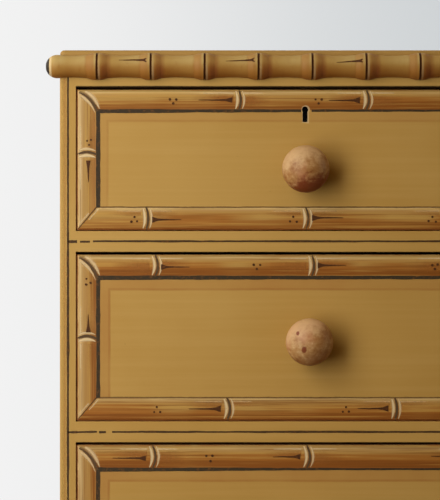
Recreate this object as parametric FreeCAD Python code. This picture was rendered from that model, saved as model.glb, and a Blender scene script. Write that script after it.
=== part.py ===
import FreeCAD
import Part

import math
import os
from dataclasses import dataclass

# A painted chest of drawers with simulated bamboo: two short drawers over three long ones, on turned feet.
# Millimetres, +Z up, front facing -Y. The origin is on the floor, in the middle of the whole footprint.

# Case
CASE_WIDTH = 988.0
CASE_DEPTH = 470.0
SIDE_THICKNESS = 16.0
SIDE_EDGE_ROUND = 2.0
TOP_THICKNESS = 20.0
TOP_EDGE_ROUND = 4.0
TOP_CORNER_ROUND = 5.0
TOP_HOUSING_DEPTH = 6.0
BOTTOM_THICKNESS = 12.0
BOTTOM_HOUSING_DEPTH = 6.0
BACK_THICKNESS = 10.0
BACK_REBATE_WIDTH = 8.0
BACK_BOARD_COUNT = 6
BACK_LAP = 8.0
BACK_BOARD_GAP = 0.5

# Front frame
RAIL_HEIGHT = 21.0
RAIL_DEPTH = 60.0
RAIL_EDGE_ROUND = 0.8
TOP_RAIL_HEIGHT = 17.0
BOTTOM_RAIL_HEIGHT = 48.0
BOTTOM_RAIL_DEPTH = 21.0
TENON_LENGTH = 9.0
TENON_SHOULDER = 4.0
DIVIDER_WIDTH = 39.0
DIVIDER_TENON_LENGTH = 7.0
JOINT_CLEARANCE = 0.15
TENON_END_GAP = 0.8

# Drawer rows, counted from the top: the first holds the short drawers
SHORT_OPENING = 144.0
ROW_GROWTH = 25.4
LONG_ROWS = 3

# Runners, kickers and stops
RUNNER_WIDTH = 18.0
RUNNER_HOUSING_DEPTH = 5.0
GUIDE_HEIGHT = 14.0
STOP_LENGTH = 34.0
STOP_DEPTH = 10.0
STOP_HEIGHT = 5.0
STOP_INSET = 70.0
STOP_GAP = 0.3

# Drawers
DRAWER_BACK_GAP = 19.5
FRONT_SETBACK = 0.5
FRONT_THICKNESS = 18.0
FRONT_EDGE_ROUND = 1.6
FRONT_SIDE_GAP = 1.6
FRONT_TOP_GAP = 2.6
FRONT_BOTTOM_GAP = 1.4
DRAWER_SIDE_THICKNESS = 10.0
DRAWER_SIDE_TOP_GAP = 5.0
DRAWER_BACK_THICKNESS = 10.0
DRAWER_BACK_DROP = 6.0
RUNNING_CLEARANCE = 0.3
PANEL_THICKNESS = 6.0
PANEL_HEIGHT = 8.0
PANEL_GROOVE_DEPTH = 5.0
PANEL_EDGE_GAP = 0.4
DOVETAIL_LAP = 6.0
DOVETAIL_PITCH = 42.0
DOVETAIL_PIN = 9.0
DOVETAIL_SLOPE = 1.0 / 7.0
DOVETAIL_CLEARANCE = 0.1

# Knobs
KNOB_RADIUS = 23.5
KNOB_BASE_RADIUS = 13.0
KNOB_NECK_RADIUS = 10.0
KNOB_NECK_HEIGHT = 6.5
KNOB_UNDERCUT_RADIUS = 15.5
KNOB_UNDERCUT_HEIGHT = 12.5
KNOB_WIDEST_HEIGHT = 18.5
KNOB_PROJECTION = 39.5
KNOB_SPIGOT_RADIUS = 6.0
KNOB_SPIGOT_CLEARANCE = 0.1
KNOB_SPAN = 490.0
SHORT_KNOB_DROP = 10.0
LONG_KNOB_DROP = 4.0

# Till locks of the short drawers
KEYHOLE_DROP = 20.0
KEYHOLE_RADIUS = 3.2
KEYHOLE_SLOT_WIDTH = 5.0
KEYHOLE_SLOT_DROP = 12.5
LOCK_WIDTH = 56.0
LOCK_HEIGHT = 36.0
LOCK_DEPTH = 9.0
LOCK_WALL = 1.5
LOCK_SELVEDGE = 3.0
LOCK_CLEARANCE = 0.15
LOCK_PIN_RADIUS = 1.2
BOLT_HEAD_WIDTH = 20.0
BOLT_PLATE_WIDTH = 32.0
BOLT_THICKNESS = 4.0
BOLT_TRAVEL = 7.0
BOLT_RECESS = 0.3
BOLT_CLEARANCE = 0.2
BOLT_WINDOW_WIDTH = 12.0
BOLT_WINDOW_WALL = 2.0
STRIKE_CLEARANCE = 1.0

# Half-round bamboo moulding along the top of the front
MOULDING_RADIUS = 13.6
MOULDING_WAIST = 10.8
MOULDING_DROP = 3.0
MOULDING_END = 51.1
MOULDING_SEGMENTS = 17
MOULDING_OVERHANG = 13.6
MOULDING_TIP_RADIUS = 3.5
MOULDING_TIP_LENGTH = 13.0
MOULDING_TIP_SHOULDER = 11.6
RING_COLLAR = 9.5
RING_COLLAR_STEP = 0.3
RING_COLLAR_SWELL = 0.25
RING_GROOVE_WIDTH = 1.6
RING_GROOVE_DEPTH = 1.0

# Turned feet
FOOT_HEIGHT = 95.0
FOOT_RADIUS = 26.0
FOOT_WAIST = 21.0
FOOT_SHOULDER_RADIUS = 23.5
FOOT_TOE_RADIUS = 17.0
FOOT_RING_DROP = 14.0
FOOT_RING_PITCH = 42.0
FOOT_TOE_ROUND = 4.0
FOOT_TENON_RADIUS = 12.0
FOOT_TENON_LENGTH = 26.0
FOOT_TENON_CLEARANCE = 0.1
FOOT_BLOCK = 70.0

# Places worked out from the sizes above
OPENINGS = [SHORT_OPENING + ROW_GROWTH * row for row in range(LONG_ROWS + 1)]
BOTTOM_RAIL_TOP = FOOT_HEIGHT + BOTTOM_RAIL_HEIGHT
TOP_UNDERSIDE = BOTTOM_RAIL_TOP + sum(OPENINGS) + LONG_ROWS * RAIL_HEIGHT + TOP_RAIL_HEIGHT
TOP_SURFACE = TOP_UNDERSIDE + TOP_THICKNESS
FRONT_Y = -(CASE_DEPTH - KNOB_PROJECTION + FRONT_SETBACK) / 2
BACK_Y = FRONT_Y + CASE_DEPTH
BACK_BOARD_Y = BACK_Y - BACK_THICKNESS
OUTSIDE_X = CASE_WIDTH / 2
INSIDE_X = OUTSIDE_X - SIDE_THICKNESS
FACE_Y = FRONT_Y + FRONT_SETBACK
DRAWER_INSIDE_Y = FACE_Y + FRONT_THICKNESS
DRAWER_LENGTH = CASE_DEPTH - BACK_THICKNESS - FRONT_SETBACK - DRAWER_BACK_GAP
DRAWER_END_Y = FACE_Y + DRAWER_LENGTH
RAIL_BACK_Y = FRONT_Y + RAIL_DEPTH
BOTTOM_RAIL_BACK_Y = FRONT_Y + BOTTOM_RAIL_DEPTH
MOULDING_Z = TOP_SURFACE - MOULDING_DROP - MOULDING_RADIUS
CENTRE_RUNNER_WIDTH = DIVIDER_WIDTH + 2 * RUNNER_WIDTH

X_AXIS = FreeCAD.Vector(1, 0, 0)
Y_AXIS = FreeCAD.Vector(0, 1, 0)
Z_AXIS = FreeCAD.Vector(0, 0, 1)
ORIGIN = FreeCAD.Vector(0, 0, 0)
DIAGONAL = math.sqrt(0.5)


@dataclass
class Drawer:
    """One drawer and the opening that it fills."""

    name: str
    x: tuple
    z: tuple
    knobs: dict
    knob_drop: float
    has_lock: bool

    @property
    def middle(self):
        return sum(self.x) / 2

    @property
    def outer(self):
        return (self.x[0] + FRONT_SIDE_GAP, self.x[1] - FRONT_SIDE_GAP)

    @property
    def inner(self):
        return (self.outer[0] + DRAWER_SIDE_THICKNESS, self.outer[1] - DRAWER_SIDE_THICKNESS)

    @property
    def front_z(self):
        return (self.z[0] + FRONT_BOTTOM_GAP, self.z[1] - FRONT_TOP_GAP)

    @property
    def side_z(self):
        return (self.z[0] + RUNNING_CLEARANCE, self.z[1] - DRAWER_SIDE_TOP_GAP)

    @property
    def panel_z(self):
        return (self.side_z[0] + PANEL_HEIGHT, self.side_z[0] + PANEL_HEIGHT + PANEL_THICKNESS)

    @property
    def back_z(self):
        return (self.panel_z[1], self.side_z[1] - DRAWER_BACK_DROP)

    @property
    def knob_z(self):
        return sum(self.front_z) / 2 - self.knob_drop


def row_heights():
    """The bottom and top of each row's opening, from the top row down."""
    rows = []
    top = TOP_UNDERSIDE - TOP_RAIL_HEIGHT
    for opening in OPENINGS:
        rows.append((top - opening, top))
        top -= opening + RAIL_HEIGHT
    return rows


ROWS = row_heights()


def make_drawers():
    """The five drawers, each with the place of its opening."""
    half = DIVIDER_WIDTH / 2
    drawers = [
        Drawer("short_left", (-INSIDE_X, -half), ROWS[0], {"knob": None}, SHORT_KNOB_DROP, True),
        Drawer("short_right", (half, INSIDE_X), ROWS[0], {"knob": None}, SHORT_KNOB_DROP, True),
    ]
    pair = {"left_knob": -KNOB_SPAN / 2, "right_knob": KNOB_SPAN / 2}
    for name, row in zip(("long_upper", "long_middle", "long_lower"), ROWS[1:]):
        drawers.append(Drawer(name, (-INSIDE_X, INSIDE_X), row, pair, LONG_KNOB_DROP, False))
    for drawer in drawers:
        drawer.knobs = {k: drawer.middle if x is None else x for k, x in drawer.knobs.items()}
    return drawers


def around(middle, width):
    """A span of that width about a middle."""
    return (middle - width / 2, middle + width / 2)


def grown(span, amount):
    """A span made longer at both ends."""
    return (span[0] - amount, span[1] + amount)


def box(x, y, z):
    """A block between three pairs of limits."""
    return Part.makeBox(x[1] - x[0], y[1] - y[0], z[1] - z[0], FreeCAD.Vector(x[0], y[0], z[0]))


def prism_along_x(points, x):
    """A solid of a (y, z) outline between two x limits."""
    corners = [FreeCAD.Vector(x[0], y, z) for y, z in points]
    return Part.Face(Part.makePolygon(corners + corners[:1])).extrude(X_AXIS * (x[1] - x[0]))


def prism_along_z(points, z):
    """A solid of an (x, y) outline between two z limits."""
    corners = [FreeCAD.Vector(x, y, z[0]) for x, y in points]
    return Part.Face(Part.makePolygon(corners + corners[:1])).extrude(Z_AXIS * (z[1] - z[0]))


def rounded(shape, radius, chosen):
    """The shape with a fillet on the edges that a test of the two end points picks."""
    edges = [e for e in shape.Edges if chosen(e.Vertexes[0].Point, e.Vertexes[-1].Point)]
    return shape.makeFillet(radius, edges)


def near(a, b):
    """Whether two places are the same."""
    return abs(a - b) < 1e-6


def at_front(a, b):
    """Whether both ends of an edge lie in the front plane of the case."""
    return near(a.y, FRONT_Y) and near(b.y, FRONT_Y)


class Outline:
    """A turned profile: distance along the axis, then radius, as lines and arcs."""

    def __init__(self, along, radius):
        self.edges = []
        self.at = FreeCAD.Vector(along, 0, radius)

    def line(self, along, radius):
        end = FreeCAD.Vector(along, 0, radius)
        self.edges.append(Part.LineSegment(self.at, end).toShape())
        self.at = end

    def arc(self, via, end):
        middle, end = FreeCAD.Vector(via[0], 0, via[1]), FreeCAD.Vector(end[0], 0, end[1])
        self.edges.append(Part.Arc(self.at, middle, end).toShape())
        self.at = end

    def round_out(self, along, radius):
        """A rounded corner that first leaves the axis and then runs along it."""
        steps = (along - self.at.x, radius - self.at.z)
        self.arc((self.at.x + steps[0] * (1 - DIAGONAL), self.at.z + steps[1] * DIAGONAL), (along, radius))

    def round_in(self, along, radius):
        """A rounded corner that first runs along the axis and then closes on it."""
        steps = (along - self.at.x, radius - self.at.z)
        self.arc((self.at.x + steps[0] * DIAGONAL, self.at.z + steps[1] * (1 - DIAGONAL)), (along, radius))

    def oval_cap(self, along):
        """A smooth cap from the widest place to the axis: two arcs that meet, in line, half way round."""
        start, radius = self.at.x, self.at.z
        offset = (radius - (along - start)) / (2 - 1 / DIAGONAL)
        side, crown = radius - offset, radius - offset + offset / DIAGONAL
        near_edge, far_edge = math.sin(math.pi / 8), math.cos(math.pi / 8)
        meeting = (start + side * DIAGONAL, offset + side * DIAGONAL)
        self.arc((start + side * near_edge, offset + side * far_edge), meeting)
        self.arc((start - offset + crown * far_edge, crown * near_edge), (along, 0))

    def turned(self, angle):
        """The solid of this closed profile turned about X."""
        return Part.Face(Part.Wire(self.edges)).revolve(ORIGIN, X_AXIS, angle)


def shoulder(crest, waist):
    """The radius at which a ring's collar meets the hollow cane."""
    return waist + (crest - waist) * RING_COLLAR_STEP


def add_waist(outline, end, radius, waist):
    """A hollow stretch of cane from where the outline is, narrowest half way."""
    outline.arc(((outline.at.x + end) / 2, waist), (end, radius))


def add_collar(outline, end, radius):
    """One swollen side of a cane joint."""
    low, high = sorted((outline.at.z, radius))
    outline.arc(((outline.at.x + end) / 2, (low + high) / 2 + (high - low) * RING_COLLAR_SWELL), (end, radius))


def add_ring(outline, at, crest, waist):
    """A cane joint: two swollen collars, with the fine groove between them."""
    half = RING_GROOVE_WIDTH / 2
    add_collar(outline, at - half, crest)
    outline.line(at, crest - RING_GROOVE_DEPTH)
    outline.line(at + half, crest)
    add_collar(outline, at + half + RING_COLLAR, shoulder(crest, waist))


def half_round(rings, length):
    """A split bamboo turning along X from 0, bulging to -Y, with rings at the given places and round tips."""
    outline = Outline(0, 0)
    edge = shoulder(MOULDING_RADIUS, MOULDING_WAIST)
    reach = RING_GROOVE_WIDTH / 2 + RING_COLLAR
    outline.line(0, MOULDING_TIP_RADIUS)
    outline.round_out(MOULDING_TIP_LENGTH, MOULDING_TIP_SHOULDER)
    for ring in rings:
        add_waist(outline, ring - reach, edge, MOULDING_WAIST)
        add_ring(outline, ring, MOULDING_RADIUS, MOULDING_WAIST)
    add_waist(outline, length - MOULDING_TIP_LENGTH, MOULDING_TIP_SHOULDER, MOULDING_WAIST)
    outline.round_in(length, MOULDING_TIP_RADIUS)
    outline.line(length, 0)
    outline.line(0, 0)
    return outline.turned(180)


def front_moulding():
    length = CASE_WIDTH + 2 * MOULDING_OVERHANG
    pitch = (length - 2 * MOULDING_END) / MOULDING_SEGMENTS
    shape = half_round([MOULDING_END + pitch * n for n in range(MOULDING_SEGMENTS + 1)], length)
    shape.translate(FreeCAD.Vector(-length / 2, FRONT_Y, MOULDING_Z))
    return shape


def rail_tenon(z, y, sign):
    """The stub tenon of a rail, into one side of the case."""
    x = sorted((sign * INSIDE_X, sign * (INSIDE_X + TENON_LENGTH)))
    return box(x, grown(y, -TENON_SHOULDER), grown(z, -TENON_SHOULDER))


def rail_mortise(z, y, sign):
    """The hole for that tenon, with its clearance."""
    x = sorted((sign * INSIDE_X, sign * (INSIDE_X + TENON_LENGTH + TENON_END_GAP)))
    fit = JOINT_CLEARANCE - TENON_SHOULDER
    return box(x, grown(y, fit), grown(z, fit))


def rail_places():
    """Each front rail's z and y limits, from the top down."""
    places = {"top_rail": ((TOP_UNDERSIDE - TOP_RAIL_HEIGHT, TOP_UNDERSIDE), (FRONT_Y, RAIL_BACK_Y))}
    for row in range(LONG_ROWS):
        below = ROWS[row][0]
        places[f"drawer_rail_{row + 1}"] = ((below - RAIL_HEIGHT, below), (FRONT_Y, RAIL_BACK_Y))
    places["bottom_rail"] = ((FOOT_HEIGHT, BOTTOM_RAIL_TOP), (FRONT_Y, BOTTOM_RAIL_BACK_Y))
    return places


def divider_tenon(z):
    """A stub tenon of the centre divider between two heights."""
    x = grown(around(0, DIVIDER_WIDTH), -TENON_SHOULDER)
    return box(x, grown((FRONT_Y, RAIL_BACK_Y), -TENON_SHOULDER), z)


def divider_mortise(z):
    """The hole for a tenon of the centre divider, with its clearance."""
    fit = JOINT_CLEARANCE - TENON_SHOULDER
    return box(grown(around(0, DIVIDER_WIDTH), fit), grown((FRONT_Y, RAIL_BACK_Y), fit), z)


def front_rail(name, z, y):
    """A rail between the sides, with its front edges eased and its stub tenons."""
    rail = box((-INSIDE_X, INSIDE_X), y, z)
    rail = rounded(rail, RAIL_EDGE_ROUND, lambda a, b: at_front(a, b) and near(a.z, b.z))
    for sign in (-1, 1):
        rail = rail.fuse(rail_tenon(z, y, sign))
    if name == "top_rail":
        depth = DIVIDER_TENON_LENGTH + TENON_END_GAP
        rail = rail.cut(divider_mortise((z[0], z[0] + depth)))
        for drawer in DRAWERS:
            if drawer.has_lock:
                rail = rail.cut(bolt_strike(drawer))
    if name == "drawer_rail_1":
        rail = rail.cut(divider_mortise((z[1] - DIVIDER_TENON_LENGTH - TENON_END_GAP, z[1])))
    if name == "bottom_rail":
        rebate = (BOTTOM_RAIL_TOP - BOTTOM_THICKNESS, BOTTOM_RAIL_TOP)
        rail = rail.cut(box((-OUTSIDE_X, OUTSIDE_X), (y[1] - BOTTOM_HOUSING_DEPTH, y[1]), rebate))
    return rail.removeSplitter()


def centre_divider():
    z = ROWS[0]
    body = box(around(0, DIVIDER_WIDTH), (FRONT_Y, RAIL_BACK_Y), z)
    body = rounded(body, RAIL_EDGE_ROUND, lambda a, b: at_front(a, b) and near(a.x, b.x))
    body = body.fuse(divider_tenon((z[0] - DIVIDER_TENON_LENGTH, z[0])))
    return body.fuse(divider_tenon((z[1], z[1] + DIVIDER_TENON_LENGTH))).removeSplitter()


def runner_height(row):
    """The z limits of the runners that carry a row, level with the rail below it."""
    return (ROWS[row][0] - RAIL_HEIGHT, ROWS[row][0])


def side_panel(sign):
    """A case side, with its tongue into the top, back rebate, runner housings and mortises."""
    x = sorted((sign * INSIDE_X, sign * OUTSIDE_X))
    panel = box(x, (FRONT_Y, BACK_Y), (FOOT_HEIGHT, TOP_UNDERSIDE))
    edge = sign * OUTSIDE_X
    panel = rounded(panel, SIDE_EDGE_ROUND, lambda a, b: at_front(a, b) and near(a.x, edge) and near(b.x, edge))
    tongue_x = grown(x, -TENON_SHOULDER)
    tongue_y = (FRONT_Y + SIDE_THICKNESS, BACK_BOARD_Y)
    panel = panel.fuse(box(tongue_x, tongue_y, (TOP_UNDERSIDE, TOP_UNDERSIDE + TOP_HOUSING_DEPTH)))
    inward = sorted((sign * INSIDE_X, sign * (INSIDE_X + BACK_REBATE_WIDTH)))
    panel = panel.cut(box(inward, (BACK_BOARD_Y, BACK_Y), (FOOT_HEIGHT, TOP_UNDERSIDE)))
    housing = sorted((sign * INSIDE_X, sign * (INSIDE_X + RUNNER_HOUSING_DEPTH)))
    for row in range(LONG_ROWS):
        panel = panel.cut(box(housing, (RAIL_BACK_Y, BACK_BOARD_Y), runner_height(row)))
    floor = sorted((sign * INSIDE_X, sign * (INSIDE_X + BOTTOM_HOUSING_DEPTH)))
    floor_y = (BOTTOM_RAIL_BACK_Y - BOTTOM_HOUSING_DEPTH, BACK_BOARD_Y)
    panel = panel.cut(box(floor, floor_y, (BOTTOM_RAIL_TOP - BOTTOM_THICKNESS, BOTTOM_RAIL_TOP)))
    for z, y in rail_places().values():
        panel = panel.cut(rail_mortise(z, y, sign))
    return panel.removeSplitter()


def top_board():
    board = box((-OUTSIDE_X, OUTSIDE_X), (FRONT_Y, BACK_Y), (TOP_UNDERSIDE, TOP_SURFACE))
    board = rounded(board, TOP_CORNER_ROUND, lambda a, b: at_front(a, b) and near(a.x, b.x))
    board = rounded(board, TOP_EDGE_ROUND, lambda a, b: near(a.z, TOP_SURFACE) and near(b.z, TOP_SURFACE))
    for sign in (-1, 1):
        x = grown(sorted((sign * INSIDE_X, sign * OUTSIDE_X)), JOINT_CLEARANCE - TENON_SHOULDER)
        y = grown((FRONT_Y + SIDE_THICKNESS, BACK_BOARD_Y), JOINT_CLEARANCE)
        depth = TOP_HOUSING_DEPTH + JOINT_CLEARANCE
        board = board.cut(box(x, y, (TOP_UNDERSIDE, TOP_UNDERSIDE + depth)))
    return board


def bottom_board():
    half = INSIDE_X + BOTTOM_HOUSING_DEPTH
    y = (BOTTOM_RAIL_BACK_Y - BOTTOM_HOUSING_DEPTH, BACK_BOARD_Y)
    return box((-half, half), y, (BOTTOM_RAIL_TOP - BOTTOM_THICKNESS, BOTTOM_RAIL_TOP))


def back_boards():
    """Upright half-lapped boards in the rebates of the sides."""
    low, high = -INSIDE_X - BACK_REBATE_WIDTH, INSIDE_X + BACK_REBATE_WIDTH
    pitch = (high - low) / BACK_BOARD_COUNT
    middle_y = BACK_BOARD_Y + BACK_THICKNESS / 2
    boards = []
    for n in range(BACK_BOARD_COUNT):
        left, right = low + pitch * n, low + pitch * (n + 1)
        lap = BACK_LAP if n < BACK_BOARD_COUNT - 1 else 0
        cut = BACK_LAP + BACK_BOARD_GAP if n > 0 else 0
        edge = BACK_BOARD_GAP if n > 0 else 0
        outline = [
            (left + edge, BACK_Y),
            (right, BACK_Y),
            (right, middle_y),
            (right + lap, middle_y),
            (right + lap, BACK_BOARD_Y),
            (left + cut, BACK_BOARD_Y),
            (left + cut, middle_y),
            (left + edge, middle_y),
        ]
        kept = [p for k, p in enumerate(outline) if p != outline[k - 1]]
        boards.append(prism_along_z(kept, (FOOT_HEIGHT, TOP_UNDERSIDE)))
    return Part.Compound([b.removeSplitter() for b in boards])


def side_runners():
    """The strips that carry the drawers of the upper rows, let into the sides."""
    runners = []
    for row in range(LONG_ROWS):
        for sign in (-1, 1):
            x = sorted((sign * (INSIDE_X - RUNNER_WIDTH), sign * (INSIDE_X + RUNNER_HOUSING_DEPTH)))
            runners.append(box(x, (RAIL_BACK_Y, BACK_BOARD_Y), runner_height(row)))
    return Part.Compound(runners)


def centre_runner():
    """The broad runner between the short drawers, with the guide that stands on it."""
    y = (RAIL_BACK_Y, BACK_BOARD_Y)
    runner = box(around(0, CENTRE_RUNNER_WIDTH), y, runner_height(0))
    guide = box(around(0, DIVIDER_WIDTH), y, (ROWS[0][0], ROWS[0][0] + GUIDE_HEIGHT))
    return Part.Compound([runner, guide])


def kickers():
    """The strips under the top that keep the short drawers from tipping."""
    y, z = (RAIL_BACK_Y, BACK_BOARD_Y), (ROWS[0][1], TOP_UNDERSIDE)
    edge = INSIDE_X - RUNNER_WIDTH
    spans = [(-INSIDE_X, -edge), around(0, CENTRE_RUNNER_WIDTH), (edge, INSIDE_X)]
    return Part.Compound([box(x, y, z) for x in spans])


def drawer_stops():
    """Two small blocks behind each drawer front, on the rail below it."""
    y = (DRAWER_INSIDE_Y + STOP_GAP, DRAWER_INSIDE_Y + STOP_GAP + STOP_DEPTH)
    stops = []
    for drawer in DRAWERS:
        for middle in grown(drawer.inner, -STOP_INSET):
            stops.append(box(around(middle, STOP_LENGTH), y, (drawer.z[0], drawer.z[0] + STOP_HEIGHT)))
    return Part.Compound(stops)


def foot_places():
    """The middle of each foot, by its name."""
    x = INSIDE_X - FOOT_BLOCK / 2
    front, back = BOTTOM_RAIL_BACK_Y + FOOT_BLOCK / 2, BACK_BOARD_Y - FOOT_BLOCK / 2
    return {
        "front_left_foot": (-x, front),
        "front_right_foot": (x, front),
        "back_left_foot": (-x, back),
        "back_right_foot": (x, back),
    }


def foot(x, y):
    """A turned bamboo foot that stands on the floor, with the tenon that holds it in its block."""
    outline = Outline(0, 0)
    outline.line(0, FOOT_TOE_RADIUS - FOOT_TOE_ROUND)
    outline.round_out(FOOT_TOE_ROUND, FOOT_TOE_RADIUS)
    for drop in (FOOT_RING_DROP + FOOT_RING_PITCH, FOOT_RING_DROP):
        ring = FOOT_HEIGHT - drop
        low = ring - RING_GROOVE_WIDTH / 2 - RING_COLLAR
        add_waist(outline, low, shoulder(FOOT_RADIUS, FOOT_WAIST), FOOT_WAIST)
        add_ring(outline, ring, FOOT_RADIUS, FOOT_WAIST)
    outline.line(FOOT_HEIGHT, FOOT_SHOULDER_RADIUS)
    outline.line(FOOT_HEIGHT, FOOT_TENON_RADIUS)
    outline.line(FOOT_HEIGHT + FOOT_TENON_LENGTH, FOOT_TENON_RADIUS)
    outline.line(FOOT_HEIGHT + FOOT_TENON_LENGTH, 0)
    outline.line(0, 0)
    shape = outline.turned(360)
    shape.rotate(ORIGIN, Y_AXIS, -90)
    shape.translate(FreeCAD.Vector(x, y, 0))
    return shape


def foot_blocks():
    """The bored corner blocks under the bottom board that hold the feet."""
    blocks = []
    height = (FOOT_HEIGHT, BOTTOM_RAIL_TOP - BOTTOM_THICKNESS)
    for x, y in foot_places().values():
        block = box(around(x, FOOT_BLOCK), around(y, FOOT_BLOCK), height)
        radius = FOOT_TENON_RADIUS + FOOT_TENON_CLEARANCE
        depth = FOOT_TENON_LENGTH + TENON_END_GAP
        blocks.append(block.cut(Part.makeCylinder(radius, depth, FreeCAD.Vector(x, y, FOOT_HEIGHT))))
    return Part.Compound(blocks)


def tails(z, length):
    """Each dovetail's lower and upper edge at its root, over a height, and how far it spreads."""
    count = max(1, round((z[1] - z[0]) / DOVETAIL_PITCH))
    spread = DOVETAIL_SLOPE * length
    pitch = (z[1] - z[0]) / count
    half_pin = DOVETAIL_PIN / 2
    return [(z[0] + pitch * n + half_pin, z[0] + pitch * (n + 1) - half_pin) for n in range(count)], spread


def tail_outline(y_root, y_tip, low, high, spread):
    """One tail's four corners, going up."""
    return [(y_root, low), (y_tip, low - spread), (y_tip, high + spread), (y_root, high)]


def tail_sets(drawer):
    """The tails of a drawer side: those lapped into the front and those through the back."""
    front_length = FRONT_THICKNESS - DOVETAIL_LAP
    shared = (max(drawer.front_z[0], drawer.side_z[0]), min(drawer.front_z[1], drawer.side_z[1]))
    lows, spread = tails(shared, front_length)
    front = [tail_outline(DRAWER_INSIDE_Y, DRAWER_INSIDE_Y - front_length, a, b, spread) for a, b in lows]
    back_root = DRAWER_END_Y - DRAWER_BACK_THICKNESS
    lows, spread = tails(drawer.back_z, DRAWER_BACK_THICKNESS)
    back = [tail_outline(back_root, DRAWER_END_Y, a, b, spread) for a, b in lows]
    return front, back


def drawer_side(drawer, sign):
    """A drawer side with its tails and the groove that holds the bottom panel."""
    end, face = (drawer.outer[0], drawer.inner[0]) if sign < 0 else (drawer.outer[1], drawer.inner[1])
    front, back = tail_sets(drawer)
    z = drawer.side_z
    points = [(DRAWER_INSIDE_Y, z[0])]
    for tail in front:
        points += tail
    points += [(DRAWER_INSIDE_Y, z[1]), (DRAWER_END_Y - DRAWER_BACK_THICKNESS, z[1])]
    for tail in reversed(back):
        points += reversed(tail)
    points.append((DRAWER_END_Y - DRAWER_BACK_THICKNESS, z[0]))
    side = prism_along_x(points, sorted((end, face)))
    groove = sorted((face, face + sign * PANEL_GROOVE_DEPTH))
    return side.cut(box(groove, (FACE_Y, DRAWER_END_Y), drawer.panel_z)).removeSplitter()


def sockets(drawer, tail_list, y_open):
    """The hollows that take a set of tails at both ends of a front or back."""
    cuts = []
    fit = DOVETAIL_CLEARANCE
    for end, face, sign in ((drawer.outer[0], drawer.inner[0], -1), (drawer.outer[1], drawer.inner[1], 1)):
        x = sorted((end + sign * FRONT_SIDE_GAP, face - sign * fit))
        for (y_root, low), (y_tip, low_tip), (_, high_tip), (_, high) in tail_list:
            reach = y_tip + fit * (1 if y_tip > y_root else -1)
            outline = [(y_open, low - fit), (y_root, low - fit), (reach, low_tip - fit)]
            outline += [(reach, high_tip + fit), (y_root, high + fit), (y_open, high + fit)]
            cuts.append(prism_along_x(outline, x))
    return cuts


def keyhole(drawer, y, extra=0.0):
    """The keyhole's round head and slot, cut through between two depths."""
    x, z = drawer.middle, drawer.front_z[1] - KEYHOLE_DROP
    head = Part.makeCylinder(KEYHOLE_RADIUS + extra, y[1] - y[0], FreeCAD.Vector(x, y[0], z), Y_AXIS)
    slot_width = KEYHOLE_SLOT_WIDTH + 2 * extra
    return head.fuse(box(around(x, slot_width), y, (z - KEYHOLE_SLOT_DROP - extra, z)))


def lock_place(drawer):
    """The x, y and z limits of a lock case, let into the back of its drawer front."""
    top = drawer.front_z[1]
    y = (DRAWER_INSIDE_Y - LOCK_DEPTH, DRAWER_INSIDE_Y)
    return around(drawer.middle, LOCK_WIDTH), y, (top - LOCK_HEIGHT, top)


def drawer_front(drawer):
    """A drawer front with eased edges, lapped dovetail sockets, panel groove, knob and lock holes."""
    front = box(drawer.outer, (FACE_Y, DRAWER_INSIDE_Y), drawer.front_z)
    front = rounded(front, FRONT_EDGE_ROUND, lambda a, b: near(a.y, FACE_Y) and near(b.y, FACE_Y))
    front_tails, _ = tail_sets(drawer)
    for cut in sockets(drawer, front_tails, DRAWER_INSIDE_Y + 1):
        front = front.cut(cut)
    groove_x = grown(drawer.inner, PANEL_GROOVE_DEPTH)
    groove_y = (DRAWER_INSIDE_Y - PANEL_GROOVE_DEPTH, DRAWER_INSIDE_Y)
    front = front.cut(box(groove_x, groove_y, drawer.panel_z))
    for x in drawer.knobs.values():
        hole = KNOB_SPIGOT_RADIUS + KNOB_SPIGOT_CLEARANCE
        front = front.cut(
            Part.makeCylinder(hole, FRONT_THICKNESS, FreeCAD.Vector(x, FACE_Y, drawer.knob_z), Y_AXIS)
        )
    if drawer.has_lock:
        x, y, z = lock_place(drawer)
        recess = box(grown(x, LOCK_CLEARANCE), (y[0] - LOCK_CLEARANCE, y[1]), (z[0] - LOCK_CLEARANCE, z[1]))
        front = front.cut(recess).cut(keyhole(drawer, (FACE_Y, DRAWER_INSIDE_Y)))
    return front.removeSplitter()


def drawer_back(drawer):
    """A drawer back that stands on the bottom panel, with sockets through it for the sides' tails."""
    back = box(drawer.outer, (DRAWER_END_Y - DRAWER_BACK_THICKNESS, DRAWER_END_Y), drawer.back_z)
    _, back_tails = tail_sets(drawer)
    for cut in sockets(drawer, back_tails, DRAWER_END_Y - DRAWER_BACK_THICKNESS - 1):
        back = back.cut(cut)
    return back.removeSplitter()


def drawer_bottom(drawer):
    """The thin bottom panel, held in the grooves of the front and sides."""
    reach = PANEL_GROOVE_DEPTH - PANEL_EDGE_GAP
    return box(grown(drawer.inner, reach), (DRAWER_INSIDE_Y - reach, DRAWER_END_Y), drawer.panel_z)


def knob(drawer, x):
    """A turned mushroom knob, with the spigot that goes through the drawer front."""
    outline = Outline(-FRONT_THICKNESS, 0)
    outline.line(-FRONT_THICKNESS, KNOB_SPIGOT_RADIUS)
    outline.line(0, KNOB_SPIGOT_RADIUS)
    outline.line(0, KNOB_BASE_RADIUS)
    outline.arc((KNOB_NECK_HEIGHT, KNOB_NECK_RADIUS), (KNOB_UNDERCUT_HEIGHT, KNOB_UNDERCUT_RADIUS))
    outline.round_out(KNOB_WIDEST_HEIGHT, KNOB_RADIUS)
    outline.oval_cap(KNOB_PROJECTION)
    outline.line(-FRONT_THICKNESS, 0)
    shape = outline.turned(360)
    shape.rotate(ORIGIN, Z_AXIS, -90)
    shape.translate(FreeCAD.Vector(x, FACE_Y, drawer.knob_z))
    return shape


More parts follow.
